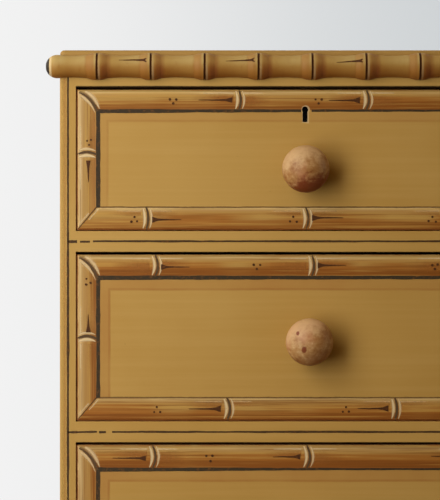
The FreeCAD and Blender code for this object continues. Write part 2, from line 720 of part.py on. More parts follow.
def lock_case(drawer):
    """A till lock's brass case: open bolt slot in its top, keyhole in its front, key pin within."""
    x, y, z = lock_place(drawer)
    case = box(x, y, z)
    cavity_x = grown(x, -LOCK_WALL * 2)
    cavity_y = grown(y, -LOCK_WALL)
    floor = bolt_plate_z(drawer)[0] - BOLT_RECESS
    case = case.cut(box(cavity_x, cavity_y, (floor, z[1] - LOCK_SELVEDGE)))
    slot_y = around(sum(y) / 2, BOLT_THICKNESS + 2 * BOLT_CLEARANCE)
    case = case.cut(box(around(drawer.middle, BOLT_HEAD_WIDTH + 2 * BOLT_CLEARANCE), slot_y, (floor, z[1])))
    case = case.cut(keyhole(drawer, (y[0], y[0] + LOCK_WALL)))
    at = FreeCAD.Vector(drawer.middle, y[0] + LOCK_WALL, z[1] - KEYHOLE_DROP)
    pin = Part.makeCylinder(LOCK_PIN_RADIUS, y[1] - y[0] - LOCK_WALL, at, Y_AXIS)
    return case.fuse(pin).removeSplitter()


def bolt_plate_z(drawer):
    """The bottom and top of the broad part of a lock bolt, at rest."""
    top = drawer.front_z[1]
    pin_low = top - KEYHOLE_DROP - LOCK_PIN_RADIUS
    low = pin_low - BOLT_TRAVEL - BOLT_CLEARANCE - BOLT_WINDOW_WALL
    return low, top - LOCK_SELVEDGE - BOLT_TRAVEL - BOLT_CLEARANCE


def lock_bolt(drawer):
    """The bolt that a key lifts out of the drawer's top edge, with a window round the key pin."""
    _, y, z = lock_place(drawer)
    depth = around(sum(y) / 2, BOLT_THICKNESS)
    low, high = bolt_plate_z(drawer)
    bolt = box(around(drawer.middle, BOLT_PLATE_WIDTH), depth, (low, high))
    bolt = bolt.fuse(box(around(drawer.middle, BOLT_HEAD_WIDTH), depth, (high, z[1] - BOLT_RECESS)))
    window_top = z[1] - KEYHOLE_DROP + LOCK_PIN_RADIUS + BOLT_CLEARANCE
    window = box(around(drawer.middle, BOLT_WINDOW_WIDTH), depth, (low + BOLT_WINDOW_WALL, window_top))
    return bolt.cut(window).removeSplitter()


def bolt_strike(drawer):
    """The mortise in the top rail that the lifted bolt enters."""
    _, y, z = lock_place(drawer)
    width = BOLT_HEAD_WIDTH + 2 * STRIKE_CLEARANCE
    depth = around(sum(y) / 2, BOLT_THICKNESS + 2 * STRIKE_CLEARANCE)
    reach = z[1] - BOLT_RECESS + BOLT_TRAVEL + STRIKE_CLEARANCE
    return box(around(drawer.middle, width), depth, (drawer.z[1], reach))


DRAWERS = make_drawers()


def case_nodes():
    """Every piece of the fixed case, by its name."""
    nodes = {"side_panel_left": side_panel(-1), "side_panel_right": side_panel(1)}
    nodes["top_board"] = top_board()
    nodes["bottom_board"] = bottom_board()
    nodes["back_boards"] = back_boards()
    for name, (z, y) in rail_places().items():
        nodes[name] = front_rail(name, z, y)
    nodes["centre_divider"] = centre_divider()
    nodes["centre_runner"] = centre_runner()
    nodes["side_runners"] = side_runners()
    nodes["kickers"] = kickers()
    nodes["drawer_stops"] = drawer_stops()
    nodes["front_moulding"] = front_moulding()
    for name, (x, y) in foot_places().items():
        nodes[name] = foot(x, y)
    nodes["foot_blocks"] = foot_blocks()
    return nodes


def drawer_nodes(drawer):
    """Every piece of one drawer, by its name."""
    nodes = {
        "front": drawer_front(drawer),
        "left_side": drawer_side(drawer, -1),
        "right_side": drawer_side(drawer, 1),
        "back": drawer_back(drawer),
        "bottom": drawer_bottom(drawer),
    }
    for name, x in drawer.knobs.items():
        nodes[name] = knob(drawer, x)
    if drawer.has_lock:
        nodes["lock_case"] = lock_case(drawer)
        nodes["lock_bolt"] = lock_bolt(drawer)
    return {f"{drawer.name}_{piece}": shape for piece, shape in nodes.items()}


def main():
    os.makedirs("parts", exist_ok=True)
    nodes = case_nodes()
    for drawer in DRAWERS:
        nodes.update(drawer_nodes(drawer))
    for name, shape in nodes.items():
        if not shape.isValid() or shape.Volume <= 0:
            raise ValueError(f"{name} is not a sound solid")
        shape.exportStep(f"parts/{name}.step")
    print(f"{len(nodes)} nodes, {CASE_WIDTH + 2 * MOULDING_OVERHANG:.1f} wide, {TOP_SURFACE:.1f} high")


if __name__ == "__main__":
    main()
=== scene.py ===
import logging
import math
import random
from dataclasses import dataclass, field
from enum import Enum
from typing import Any, Mapping, Optional, Sequence, Union

import bpy
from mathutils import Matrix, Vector


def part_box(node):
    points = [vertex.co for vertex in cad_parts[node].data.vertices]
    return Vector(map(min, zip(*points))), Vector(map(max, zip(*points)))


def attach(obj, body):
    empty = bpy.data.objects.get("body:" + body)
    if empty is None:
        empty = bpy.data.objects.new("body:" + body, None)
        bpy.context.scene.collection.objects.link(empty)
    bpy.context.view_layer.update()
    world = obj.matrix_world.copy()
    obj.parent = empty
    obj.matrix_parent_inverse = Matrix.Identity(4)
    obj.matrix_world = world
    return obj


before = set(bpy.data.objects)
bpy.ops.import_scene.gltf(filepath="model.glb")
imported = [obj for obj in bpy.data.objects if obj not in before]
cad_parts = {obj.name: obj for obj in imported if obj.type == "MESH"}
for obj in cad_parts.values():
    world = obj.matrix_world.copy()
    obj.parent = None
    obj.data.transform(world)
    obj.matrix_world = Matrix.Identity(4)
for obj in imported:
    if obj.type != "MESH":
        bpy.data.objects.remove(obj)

LOG = logging.getLogger("chest")
MM = 0.001
PHOTO_SIZE = (440, 500)
PAINT_ROUGHNESS = 0.36
PAINT_ROUGHNESS_SPAN = 0.25
PAINT_SPECULAR = 0.1

Point = tuple[float, float]
Colour = tuple[float, float, float, float]
Stops = Sequence[tuple[float, Colour]]
Value = Union["Sock", float, int, tuple]


def linear(red: int, green: int, blue: int) -> Colour:
    """Turns a colour as a screen shows it into light.

    Args:
        red, green, blue: The colour, each from 0 to 255.

    Returns:
        The colour as linear light, with full alpha.
    """
    parts = [c / 255 for c in (red, green, blue)]
    light = [c / 12.92 if c <= 0.04045 else ((c + 0.055) / 1.055) ** 2.4 for c in parts]
    return (light[0], light[1], light[2], 1.0)


class Tone(Enum):
    """The painter's colours and the woods beneath them."""

    OCHRE = linear(190, 146, 72)
    OCHRE_DEEP = linear(183, 138, 64)
    OCHRE_PALE = linear(198, 155, 82)
    PENUMBRA = linear(176, 124, 58)
    CREAM = linear(222, 192, 136)
    GLAZE = linear(152, 92, 36)
    COLLAR = linear(128, 70, 28)
    INK = linear(60, 47, 28)
    UMBER = linear(72, 50, 26)
    THORN = linear(74, 41, 15)
    JOINT = linear(88, 64, 37)
    PINE = linear(198, 154, 98)
    PINE_DARK = linear(152, 104, 58)
    GRIME = linear(92, 60, 30)
    # Near black that stands in for shade: painted shadow inside the keyhole, on the lock behind it and along
    # the top rail's lower edge.
    PAINTED_SHADE = linear(20, 12, 8)


class Grain(Enum):
    """The way that a board's fibres and brush marks run."""

    X = 0
    Y = 1
    Z = 2

    def stretched(self, along: float, across: float) -> tuple[float, float, float]:
        """A pattern's turns per metre on each axis, drawn out along the grain."""
        return tuple(along if axis == self.value else across for axis in range(3))


class Sock:
    """One output of a node. Arithmetic on it adds Math nodes."""

    def __init__(self, graph: "Graph", socket: bpy.types.NodeSocket) -> None:
        """Keeps the graph and the socket."""
        self.graph = graph
        self.socket = socket

    def maths(self, operation: str, *values: Value) -> "Sock":
        """One Math node over the given values."""
        return self.graph.node("ShaderNodeMath", {"operation": operation}, dict(enumerate(values)))

    def __add__(self, other: Value) -> "Sock":
        """Sum."""
        return self.maths("ADD", self, other)

    __radd__ = __add__

    def __sub__(self, other: Value) -> "Sock":
        """Difference."""
        return self.maths("SUBTRACT", self, other)

    def __rsub__(self, other: Value) -> "Sock":
        """Difference, from a number."""
        return self.maths("SUBTRACT", other, self)

    def __mul__(self, other: Value) -> "Sock":
        """Product."""
        return self.maths("MULTIPLY", self, other)

    __rmul__ = __mul__

    def __truediv__(self, other: Value) -> "Sock":
        """Quotient."""
        return self.maths("DIVIDE", self, other)

    def __abs__(self) -> "Sock":
        """Size without sign."""
        return self.maths("ABSOLUTE", self)

    def __lt__(self, other: Value) -> "Sock":
        """One where this is less."""
        return self.maths("LESS_THAN", self, other)

    def fraction(self) -> "Sock":
        """What is left past the whole number below."""
        return self.maths("FRACT", self)

    def root(self) -> "Sock":
        """The square root."""
        return self.maths("SQRT", self)

    def least(self, other: Value) -> "Sock":
        """The smaller of two."""
        return self.maths("MINIMUM", self, other)

    def most(self, other: Value) -> "Sock":
        """The larger of two."""
        return self.maths("MAXIMUM", self, other)

    def rise(self, low: float, high: float) -> "Sock":
        """A smooth step from nought at low to one at high, falling where low is the larger."""
        limits = {"Value": self, "From Min": low, "From Max": high}
        return self.graph.node("ShaderNodeMapRange", {"interpolation_type": "SMOOTHSTEP"}, limits)

    def beside(self, name: str) -> "Sock":
        """Another output of the same node."""
        return Sock(self.graph, self.socket.node.outputs[name])


class Graph:
    """Adds nodes to one tree, of a material, a world or a geometry group."""

    def __init__(self, tree: bpy.types.NodeTree) -> None:
        """Keeps the tree."""
        self.tree = tree

    def node(
        self,
        kind: str,
        settings: Optional[Mapping[str, Any]] = None,
        inputs: Optional[Mapping[Union[str, int], Value]] = None,
        output: Union[str, int] = 0,
    ) -> Sock:
        """Adds one node.

        Args:
            kind: Blender's name for the node's type.
            settings: Its properties, and "stops" for a colour ramp, all set first.
            inputs: What goes into its sockets: a value, or the output that is linked.
            output: The output that is handed back.

        Returns:
            That output.
        """
        made = self.tree.nodes.new(kind)
        for name, setting in (settings or {}).items():
            if name == "stops":
                self._set_stops(made.color_ramp, setting)
            else:
                setattr(made, name, setting)
        for name, value in (inputs or {}).items():
            if isinstance(value, Sock):
                self.tree.links.new(value.socket, made.inputs[name])
            else:
                made.inputs[name].default_value = value
        return Sock(self, made.outputs[output] if made.outputs else made.inputs[0])

    @staticmethod
    def _set_stops(ramp: bpy.types.ColorRamp, stops: Stops) -> None:
        """Puts the given places and colours on a ramp.

        Args:
            ramp: The ramp.
            stops: Each stop's place and colour.
        """
        while len(ramp.elements) < len(stops):
            ramp.elements.new(1.0)
        for element, (place, colour) in zip(ramp.elements, stops):
            element.position = place
            element.color = colour

    def mix(self, factor: Value, low: Value, high: Value) -> Sock:
        """One colour into another by a factor."""
        return self.node("ShaderNodeMix", {"data_type": "RGBA"}, {0: factor, 6: low, 7: high}, 2)

    def vector(self, operation: str, inputs: Mapping[Union[str, int], Value]) -> Sock:
        """One Vector Math node."""
        return self.node("ShaderNodeVectorMath", {"operation": operation}, inputs)


class Paintbox(Graph):
    """A material in the making, over a piece's own Object coordinates."""

    def __init__(self, name: str) -> None:
        """Starts an empty material.

        Args:
            name: The material's name.
        """
        self.material = bpy.data.materials.new(name)
        self.material.use_nodes = True
        super().__init__(self.material.node_tree)
        self.tree.nodes.clear()
        self.place = self.node("ShaderNodeTexCoord", output="Object")

    def millimetres(self) -> tuple[Sock, Sock, Sock]:
        """Splits the place on the piece into its three coordinates.

        Returns:
            The coordinates, each in millimetres.
        """
        scaled = self.vector("SCALE", {0: self.place, 3: 1 / MM})
        parts = self.node("ShaderNodeSeparateXYZ", inputs={0: scaled})
        return parts, parts.beside("Y"), parts.beside("Z")

    def noise(
        self,
        scale: Sequence[float],
        detail: float = 2.0,
        rough: float = 0.5,
        warp: float = 0.0,
        seed: float = 0.0,
    ) -> Sock:
        """Soft noise about one half.

        Args:
            scale: Turns per metre on each axis.
            detail: How many finer layers it has.
            rough: How strong the finer layers are.
            warp: How far it is distorted.
            seed: Where in the noise it starts.

        Returns:
            The noise's value.
        """
        where = {"Vector": self.place, "Scale": tuple(scale), "Location": (seed, seed * 1.7, seed * 2.3)}
        inputs = {
            "Vector": self.node("ShaderNodeMapping", inputs=where),
            "Scale": 1.0,
            "Detail": detail,
            "Roughness": rough,
            "Distortion": warp,
        }
        return self.node("ShaderNodeTexNoise", inputs=inputs)

    def ramp(self, value: Sock, stops: Stops) -> Sock:
        """A colour from a value, by stops."""
        return self.node("ShaderNodeValToRGB", {"stops": stops}, {0: value})

    def bump(self, height: Sock, depth_mm: float) -> Sock:
        """A normal from a height that runs over nought to one."""
        inputs = {"Strength": 1.0, "Distance": depth_mm * MM, "Height": height}
        return self.node("ShaderNodeBump", inputs=inputs)

    def satin(self, colour: Sock, relief: Sock, depth_mm: float) -> bpy.types.Material:
        """Ends the material as old oil paint: a low gloss, broken by the relief.

        Args:
            colour: The paint's colour.
            relief: The brush marks.
            depth_mm: How deep they are.

        Returns:
            The material.
        """
        rough = relief * PAINT_ROUGHNESS_SPAN + PAINT_ROUGHNESS
        gloss = {"Roughness": rough, "Specular_IOR_Level": PAINT_SPECULAR}
        return self.finish(Base_Color=colour, Normal=self.bump(relief, depth_mm), **gloss)

    def finish(self, **sockets: Value) -> bpy.types.Material:
        """Ends the material in a Principled surface.

        Args:
            sockets: The surface's sockets, with _ for the spaces in their names.

        Returns:
            The material.
        """
        named = {name.replace("_", " "): value for name, value in sockets.items()}
        surface = self.node("ShaderNodeBsdfPrincipled", inputs=named)
        self.node("ShaderNodeOutputMaterial", inputs={"Surface": surface})
        return self.material


def pine(box: Paintbox, grain: Grain) -> tuple[Sock, Sock]:
    """Bare aged pine.

    Args:
        box: The material that it is for.
        grain: The way that the fibres run.

    Returns:
        The wood's colour, and its fine relief.
    """
    rings = (box.noise(grain.stretched(0.9, 26), 2, 0.4, 0.5, 3.1) * 9).fraction()
    fibre = box.noise(grain.stretched(14, 620), 3, 0.6)
    late = rings.rise(0.25, 0.95) * 0.7 + fibre * 0.45 - 0.1
    colour = box.mix(late, Tone.PINE.value, Tone.PINE_DARK.value)
    stain = box.noise((5, 5, 5), 3, 0.6, 0.0, 7.7).rise(0.55, 0.8) * 0.45
    return box.mix(stain, colour, Tone.GRIME.value), fibre


def ochre(box: Paintbox, grain: Grain) -> tuple[Sock, Sock]:
    """Hand-brushed ochre paint, faintly streaked and speckled.

    Args:
        box: The material that it is for.
        grain: The way that the brush went.

    Returns:
        The paint's colour, and the relief of its brush marks.
    """
    streak = box.noise(grain.stretched(4, 190), 4, 0.6)
    cloud = box.noise((5, 5, 5), 3, 0.55, 0.3, 4.0)
    colour = box.mix(cloud.rise(0.3, 0.7), Tone.OCHRE_DEEP.value, Tone.OCHRE.value)
    colour = box.mix((streak - 0.42) * 1.1, colour, Tone.OCHRE_PALE.value)
    speck = box.noise((150, 150, 230), 2, 0.5, 0.0, 9.0).rise(0.75, 0.82) * 0.3
    return box.mix(speck, colour, Tone.GRIME.value), streak


def brushed_to(box: Paintbox, y: Sock, limit: float, coarse: float) -> Sock:
    """Where the painter's brush reached round an edge, before the bare wood begins.

    Args:
        box: The material that it is for.
        y: The depth from front to back, in millimetres.
        limit: How deep the brush reached, about.
        coarse: How many times a metre that edge wavers.

    Returns:
        One on the paint, nought on the wood.
    """
    ragged = box.noise((coarse, coarse, coarse), 2) * 3
    return (y + ragged).rise(limit + 2.6, limit + 1.4)


@dataclass(frozen=True)
class BarePine:
    """Unpainted pine, as in the drawers and at the back.

    A row of boards has its left end and one board's width: each board then has its own tone.
    """

    grain: Grain
    name: str = "bare_pine"
    row: Optional[Point] = None

    def material(self) -> bpy.types.Material:
        """Builds the finish.

        Returns:
            The material.
        """
        box = Paintbox(f"{self.name}_{self.grain.name.lower()}")
        colour, fibre = pine(box, self.grain)
        if self.row is not None:
            start, width = self.row
            turns = (box.millimetres()[0] - start) / width
            part = turns.fraction()
            tone = ((turns - part) * 0.37 + 0.2).fraction()
            colour = box.mix(tone * 0.4, colour, linear(140, 96, 54))
            edge = part.least(1 - part) * width
            colour = box.mix((edge + fibre).rise(1.9, 1.1) * 0.85, colour, Tone.GRIME.value)
        gloss = {"Roughness": fibre * 0.2 + 0.6, "Specular_IOR_Level": 0.2}
        return box.finish(Base_Color=colour, Normal=box.bump(fibre, 0.25), **gloss)


@dataclass(frozen=True)
class OchrePaint:
    """Ochre paint on the parts that show, over bare pine where the case closes round it.

    The limits are how deep the brush reached from the front, how far out it is paint all the way to the back,
    and the height of an edge that is coloured black as painted shade, in millimetres. Dull is how far the
    paint is darkened to a dull brown, as dirt and painted shade.
    """

    name: str
    grain: Grain
    back_limit: Optional[float] = None
    outer_limit: Optional[float] = None
    shaded_edge: Optional[float] = None
    dull: float = 0.0

    def material(self) -> bpy.types.Material:
        """Builds the finish.

        Returns:
            The material.
        """
        box = Paintbox(self.name)
        colour, streak = ochre(box, self.grain)
        # Darker all over: dirt, and painted shade against the light that the top catches from above.
        if self.dull:
            colour = box.mix(self.dull, colour, linear(138, 106, 58))
        x, y, z = box.millimetres()
        # Painted shade: a near-black band along the lower edge, over the gap below.
        if self.shaded_edge is not None:
            above = z + box.noise((14, 60, 60), 2) * 1.2 - self.shaded_edge
            colour = box.mix(above.rise(1.9, 1.2) * 0.9, colour, Tone.PAINTED_SHADE.value)
        if self.back_limit is not None:
            painted = brushed_to(box, y, self.back_limit, 40)
            if self.outer_limit is not None:
                painted = painted.most(abs(x).rise(self.outer_limit, self.outer_limit + 1))
            colour = box.mix(painted, pine(box, self.grain)[0], colour)
        return box.satin(colour, streak, 0.1)


@dataclass(frozen=True)
class Keyhole:
    """A keyhole's place and size on a drawer front, in millimetres."""

    x: float
    z: float
    radius: float = 3.2
    slot: float = 5.0
    drop: float = 12.5

    def away(self, x: Sock, z: Sock) -> Sock:
        """How far a point is from the hole's edge.

        Args:
            x, z: The point, in millimetres.

        Returns:
            The distance, less than nought inside the hole.
        """
        dx, dz = x - self.x, z - self.z
        head = (dx * dx + dz * dz).root() - self.radius
        return head.least((abs(dx) - self.slot / 2).most(dz).most(-self.drop - dz))


@dataclass(frozen=True)
class FramedFront:
    """A drawer front's paint: an ochre field, a bamboo frame in light and shade, and its cast shadow, with
    the keyhole's walls painted black as shade.

    Lengths are millimetres. Richness is how brown the cane is, penumbra how far the shadow reaches past the
    frame, and dusk how dark it is.
    """

    name: str
    low: Point
    high: Point
    strips: "StripWidths"
    face: float
    richness: float
    penumbra: float
    dusk: float
    keyhole: Optional[Keyhole] = None
    brush_reach: float = 2.0

    def material(self) -> bpy.types.Material:
        """Builds the finish.

        Returns:
            The material.
        """
        box = Paintbox(self.name)
        colour, streak = ochre(box, Grain.X)
        x, y, z = box.millimetres()
        wander = (box.noise((26, 26, 26), 2, 0.5, 0.0, 2.0) - 0.5) * 1.2
        from_left, from_top = x - self.low[0], self.high[1] - z
        left, top = from_left / self.strips.left, from_top / self.strips.top
        right, bottom = (self.high[0] - x) / self.strips.right, (z - self.low[1]) / self.strips.bottom
        lit, shaded = left.least(top), right.least(bottom)
        level = top.least(bottom) < left.least(right)
        edge = lit.least(shaded)
        facing = lit < shaded
        lit_edge = edge * (level * 0.14 + 0.86) + (1 - level) * 0.06
        across = facing * lit_edge + (1 - facing) * ((1 - edge) * 0.8 + 0.1)
        cast = (from_left - self.strips.left).least(from_top - self.strips.top) + wander
        dusky = (box.noise((16, 16, 16), 3, 0.6, 0.0, 8.0).rise(0.3, 0.7) * 0.5 + 0.5) * self.dusk
        end = cast - self.penumbra
        colour = box.mix(end.rise(0.9, -1.1) * dusky, colour, Tone.PENUMBRA.value)
        colour = box.mix(end.rise(-2.6, -1.0) * end.rise(1.2, 0.0) * dusky * 0.5, colour, Tone.GLAZE.value)
        cane = self._cane(box, across, level, from_left)
        colour = box.mix((edge + wander * 0.02).rise(1.02, 0.98), colour, cane)
        worn = (edge * 20 + wander).rise(1.5, 0.4) * box.noise((60, 60, 60), 3).rise(0.42, 0.6) * 0.6
        colour = box.mix(worn, colour, Tone.GLAZE.value)
        painted = brushed_to(box, y, self.face + self.brush_reach, 50)
        colour = box.mix(painted, pine(box, Grain.X)[0], colour)
        if self.keyhole is not None:
            away, dx = self.keyhole.away(x, z), x - self.keyhole.x
            rubbed = (away - dx * 0.12 + wander).rise(1.3, 0.3) * 0.55
            colour = box.mix(rubbed, colour, Tone.CREAM.value)
            # Painted shade: the keyhole's walls are coloured near black.
            keyhole_shade = away.rise(0.5, 0.2) * y.rise(self.face + 0.2, self.face + 1.2)
            colour = box.mix(keyhole_shade, colour, Tone.PAINTED_SHADE.value)
        return box.satin(colour, streak, 0.08)

    def _cane(self, box: Paintbox, across: Sock, level: Sock, from_left: Sock) -> Sock:
        """The frame's cane, from its lit edge to its shaded one, streaked along its length.

        Args:
            box: The material that it is for.
            across: Nought at the lit edge, one at the shaded edge.
            level: One on the strips that lie level.
            from_left: Millimetres from the front's left end, away from which the cane grows browner.

        Returns:
            The cane's colour.
        """
        flat = box.noise(Grain.X.stretched(7, 330), 3, 0.6, 0.0, 1.0)
        upright = box.noise(Grain.Z.stretched(7, 330), 3, 0.6, 0.0, 5.0)
        streak = level * flat + (1 - level) * upright
        shade = across + (streak - 0.5) * (across.rise(0.05, 0.5) * 0.26 + 0.06)
        lying = [
            (0.00, linear(160, 124, 66)),
            (0.10, linear(172, 136, 74)),
            (0.14, linear(212, 174, 106)),
            (0.18, linear(202, 162, 96)),
            (0.24, linear(184, 138, 72)),
            (0.33, linear(180, 132, 62)),
            (0.42, linear(186, 141, 68)),
            (0.52, linear(180, 134, 64)),
            (0.61, linear(164, 109, 45)),
            (0.71, linear(152, 96, 36)),
            (0.90, linear(150, 91, 33)),
            (1.00, linear(148, 95, 43)),
        ]
        standing = [
            (0.00, linear(190, 153, 90)),
            (0.12, linear(206, 168, 106)),
            (0.20, linear(214, 176, 114)),
            (0.27, linear(187, 146, 87)),
            (0.35, linear(178, 135, 73)),
            (0.52, linear(180, 136, 68)),
            (0.64, linear(180, 133, 64)),
            (0.76, linear(166, 114, 54)),
            (1.00, linear(156, 103, 49)),
        ]
        colour = box.mix(level, box.ramp(shade, standing), box.ramp(shade, lying))
        browner = level * from_left.rise(120, 340) * 0.1
        patch = box.noise((10, 10, 10), 2, 0.5, 0.0, 6.0) + self.richness + browner
        dulled = patch.rise(0.55, 0.72) * shade.rise(0.26, 0.18) * 0.45
        colour = box.mix(dulled, colour, linear(166, 120, 58))
        rich = patch.rise(0.5, 0.66)
        brown = rich * shade.rise(0.30, 0.42) * shade.rise(0.74, 0.64) * (level * 0.6 + 0.2)
        colour = box.mix(brown, colour, linear(160, 95, 31))
        colour = box.mix(rich * shade.rise(0.62, 0.72) * 0.75, colour, linear(134, 73, 20))
        flat_hair = box.noise(Grain.X.stretched(6, 520), 3, 0.65, 0.0, 2.5)
        upright_hair = box.noise(Grain.Z.stretched(6, 520), 3, 0.65, 0.0, 3.5)
        hair = level * flat_hair + (1 - level) * upright_hair
        colour = box.mix(hair.rise(0.52, 0.66) * 0.5, colour, linear(200, 152, 70))
        return box.mix(hair.rise(0.46, 0.34) * 0.55, colour, linear(122, 70, 20))


@dataclass(frozen=True)
class BambooTurning:
    """Paint on a turned cane: tan between the joints, and at each a band, a dark groove and a collar.

    Lengths are millimetres. A level cane has the height of its axis, and each of its ends has a painted tip.
    It is painted paler on top as highlight, and browner underneath and past each ring, part glaze and part
    painted shade. A band, collar or groove fades from its outer limit to its inner one.
    """

    name: str
    grain: Grain
    first: float
    pitch: float
    axis_height: Optional[float] = None
    tip: Optional[float] = None
    bare_end: Point = (14.0, 26.0)
    band: Point = (13.0, 9.6)
    collar: Point = (15.5, 11.0)
    groove: Point = (1.35, 0.95)

    def material(self) -> bpy.types.Material:
        """Builds the finish.

        Returns:
            The material.
        """
        box = Paintbox(self.name)
        colour = ochre(box, self.grain)[0]
        places = box.millimetres()
        along, height = places[self.grain.value], places[2]
        across = 40 if self.grain is Grain.X else 90
        brush = box.noise(self.grain.stretched(230, across), 3, 0.6, 0.2)
        wander = (box.noise((60, 60, 60), 2) - 0.5) * 3
        turns = (along - self.first) / self.pitch
        past = turns.fraction() * self.pitch
        before = self.pitch - past
        odd = ((turns + 0.5) / 2).fraction() < 0.5
        low = 0.45
        inward = 1
        if self.tip is not None:
            inward = (self.tip - abs(along) - wander).rise(*self.bare_end)
        if self.axis_height is not None:
            above = height - self.axis_height
            low = (above + wander * 1.5).rise(6, -7)
            colour = box.mix(0.65, colour, linear(158, 117, 50))
            stain = box.noise((90, 60, 60), 4, 0.65, 0.6, 5.0).rise(0.54, 0.72) * 0.5
            colour = box.mix(stain, colour, linear(150, 98, 38))
            # Browner towards the underside: a glaze, and painted shade under the cane.
            under = (above + wander).rise(4, -11) * 0.75
            colour = box.mix(under, colour, linear(150, 89, 26))
            # Painted highlight: paler on top, most on the stretch before each ring, as the light falls on the
            # waisted cane.
            lit = 1 - (past + wander).rise(42, 11) * inward
            pale = (above + wander * 0.6).rise(-2, 7) * (lit * 0.5 + 0.25)
            colour = box.mix(pale * (brush * 0.5 + 0.75), colour, linear(190, 160, 96))
            # Painted shade: darker low down past each ring, where the cane turns away from the light.
            turned_away_shade = (above + wander).rise(6, -6) * (1 - lit) * 0.5
            colour = box.mix(turned_away_shade, colour, linear(126, 68, 14))
        band = (before + wander).rise(*self.band) * before.rise(1.5, 4.5) * (odd * 0.1 + 0.5)
        colour = box.mix(band * (brush * 0.6 + 0.6), colour, linear(154, 94, 34))
        collar = (past + wander * 0.6).rise(*self.collar) * past.rise(1.8, 6.5)
        collar = collar * (low * 0.45 + 0.5) * inward
        colour = box.mix(collar * (brush * 0.8 + 0.55), colour, Tone.COLLAR.value)
        lip = past.rise(0.9, 1.4) * past.rise(3.8, 2.2) * (brush * 0.35 + low * 0.1)
        colour = box.mix(lip, colour, Tone.CREAM.value)
        groove = (past.least(before) + wander * 0.12).rise(*self.groove)
        colour = box.mix(groove, colour, Tone.THORN.value)
        if self.tip is not None:
            end = abs(along) + wander * 0.3
            colour = box.mix(end.rise(self.tip - 6.6, self.tip - 5.2) * 0.7, colour, Tone.CREAM.value)
            colour = box.mix(end.rise(self.tip - 3.9, self.tip - 3.3), colour, linear(40, 28, 10))
        return box.satin(colour, brush, 0.25)


@dataclass(frozen=True)
class KnobWearAndShade:
    """How dark a knob grows low down, as grime and painted shade, and its bruises: each one's place aside and
    up, and its radius, in millimetres.
    """

    grime: float = 0.4
    bruises: tuple[tuple[float, float, float], ...] = ()


@dataclass(frozen=True)
class KnobWood:
    """Hand-worn turned wood, blotched where old paint has rubbed away, paler at the upper left as wear and
    painted highlight, and darker low down as grime and painted shade.
    """

    name: str
    centre: Point
    seed: float
    wear_and_shade: KnobWearAndShade

    def material(self) -> bpy.types.Material:
        """Builds the finish.

        Returns:
            The material.
        """
        box = Paintbox(self.name)
        x, _, z = box.millimetres()
        aside, above = x - self.centre[0], z - self.centre[1]
        blotch = box.noise((52, 52, 52), 4, 0.62, 0.4, self.seed)
        flake = box.noise((210, 210, 210), 3, 0.6, 0.2, self.seed + 3)
        fibre = box.noise((60, 60, 520), 2, 0.5, 0.0, self.seed + 5)
        stops = [
            (0.30, linear(138, 82, 34)),
            (0.44, linear(160, 108, 54)),
            (0.56, linear(178, 130, 74)),
            (0.70, linear(204, 168, 112)),
        ]
        colour = box.ramp(blotch * 0.42 + flake * 0.42 + fibre * 0.16, stops)
        rosy = box.noise((36, 36, 36), 2, 0.5, 0.0, self.seed + 8).rise(0.48, 0.66) * 0.5
        colour = box.mix(rosy, colour, linear(186, 116, 74))
        mottle = (blotch - 0.5) * 10 + (flake - 0.5) * 22
        # Paler towards the upper left: worn paint, and painted highlight where the light falls.
        worn = (above - aside * 0.5 + mottle).rise(-3, 19) * 0.62
        colour = box.mix(worn, colour, linear(217, 178, 124))
        # Darker red-brown low and to the right: grime, and painted shade on the side away from the light.
        grime_and_shade_mask = (above - aside * 0.35 + mottle).rise(-5, -17) * self.wear_and_shade.grime
        colour = box.mix(grime_and_shade_mask, colour, linear(112, 38, 6))
        for along, up, radius in self.wear_and_shade.bruises:
            dx, dz = aside - along, above - up
            away = (dx * dx * 1.7 + dz * dz).root()
            spot = (away + (flake - 0.5) * 2).rise(radius * 1.25, radius * 0.7)
            colour = box.mix(spot * 0.85, colour, linear(112, 36, 8))
        gloss = {"Roughness": flake * 0.35 + 0.3, "Specular_IOR_Level": 0.16}
        return box.finish(Base_Color=colour, Normal=box.bump(flake, 0.35), **gloss)


@dataclass(frozen=True)
class AgedBrass:
    """Dull brass, coloured black as painted shade on the parts of a lock that are seen through the keyhole.
    """

    name: str
    plate: Optional[float] = None
    head: Optional[float] = None

    def material(self) -> bpy.types.Material:
        """Builds the finish.

        Returns:
            The material.
        """
        box = Paintbox(self.name)
        _, y, z = box.millimetres()
        tarnish = box.noise((70, 70, 70), 4, 0.6, 0.3)
        scratch = box.noise((900, 60, 60), 2)
        colour = box.mix(tarnish.rise(0.42, 0.66), linear(196, 158, 84), linear(112, 82, 42))
        metal = 1.0
        # Painted shade: the lock's front, and the bolt below its head, are coloured near black and not
        # metallic.
        if self.plate is not None:
            unshaded = y.rise(self.plate - 1.2, self.plate - 0.8)
            if self.head is not None:
                unshaded = z.rise(self.head - 9, self.head - 7)
            colour = box.mix(unshaded, Tone.PAINTED_SHADE.value, colour)
            metal = unshaded
        gloss = {"Roughness": tarnish * 0.4 + scratch * 0.15 + 0.14, "Specular_IOR_Level": 0.1}
        return box.finish(Base_Color=colour, Metallic=metal, Normal=box.bump(scratch, 0.04), **gloss)


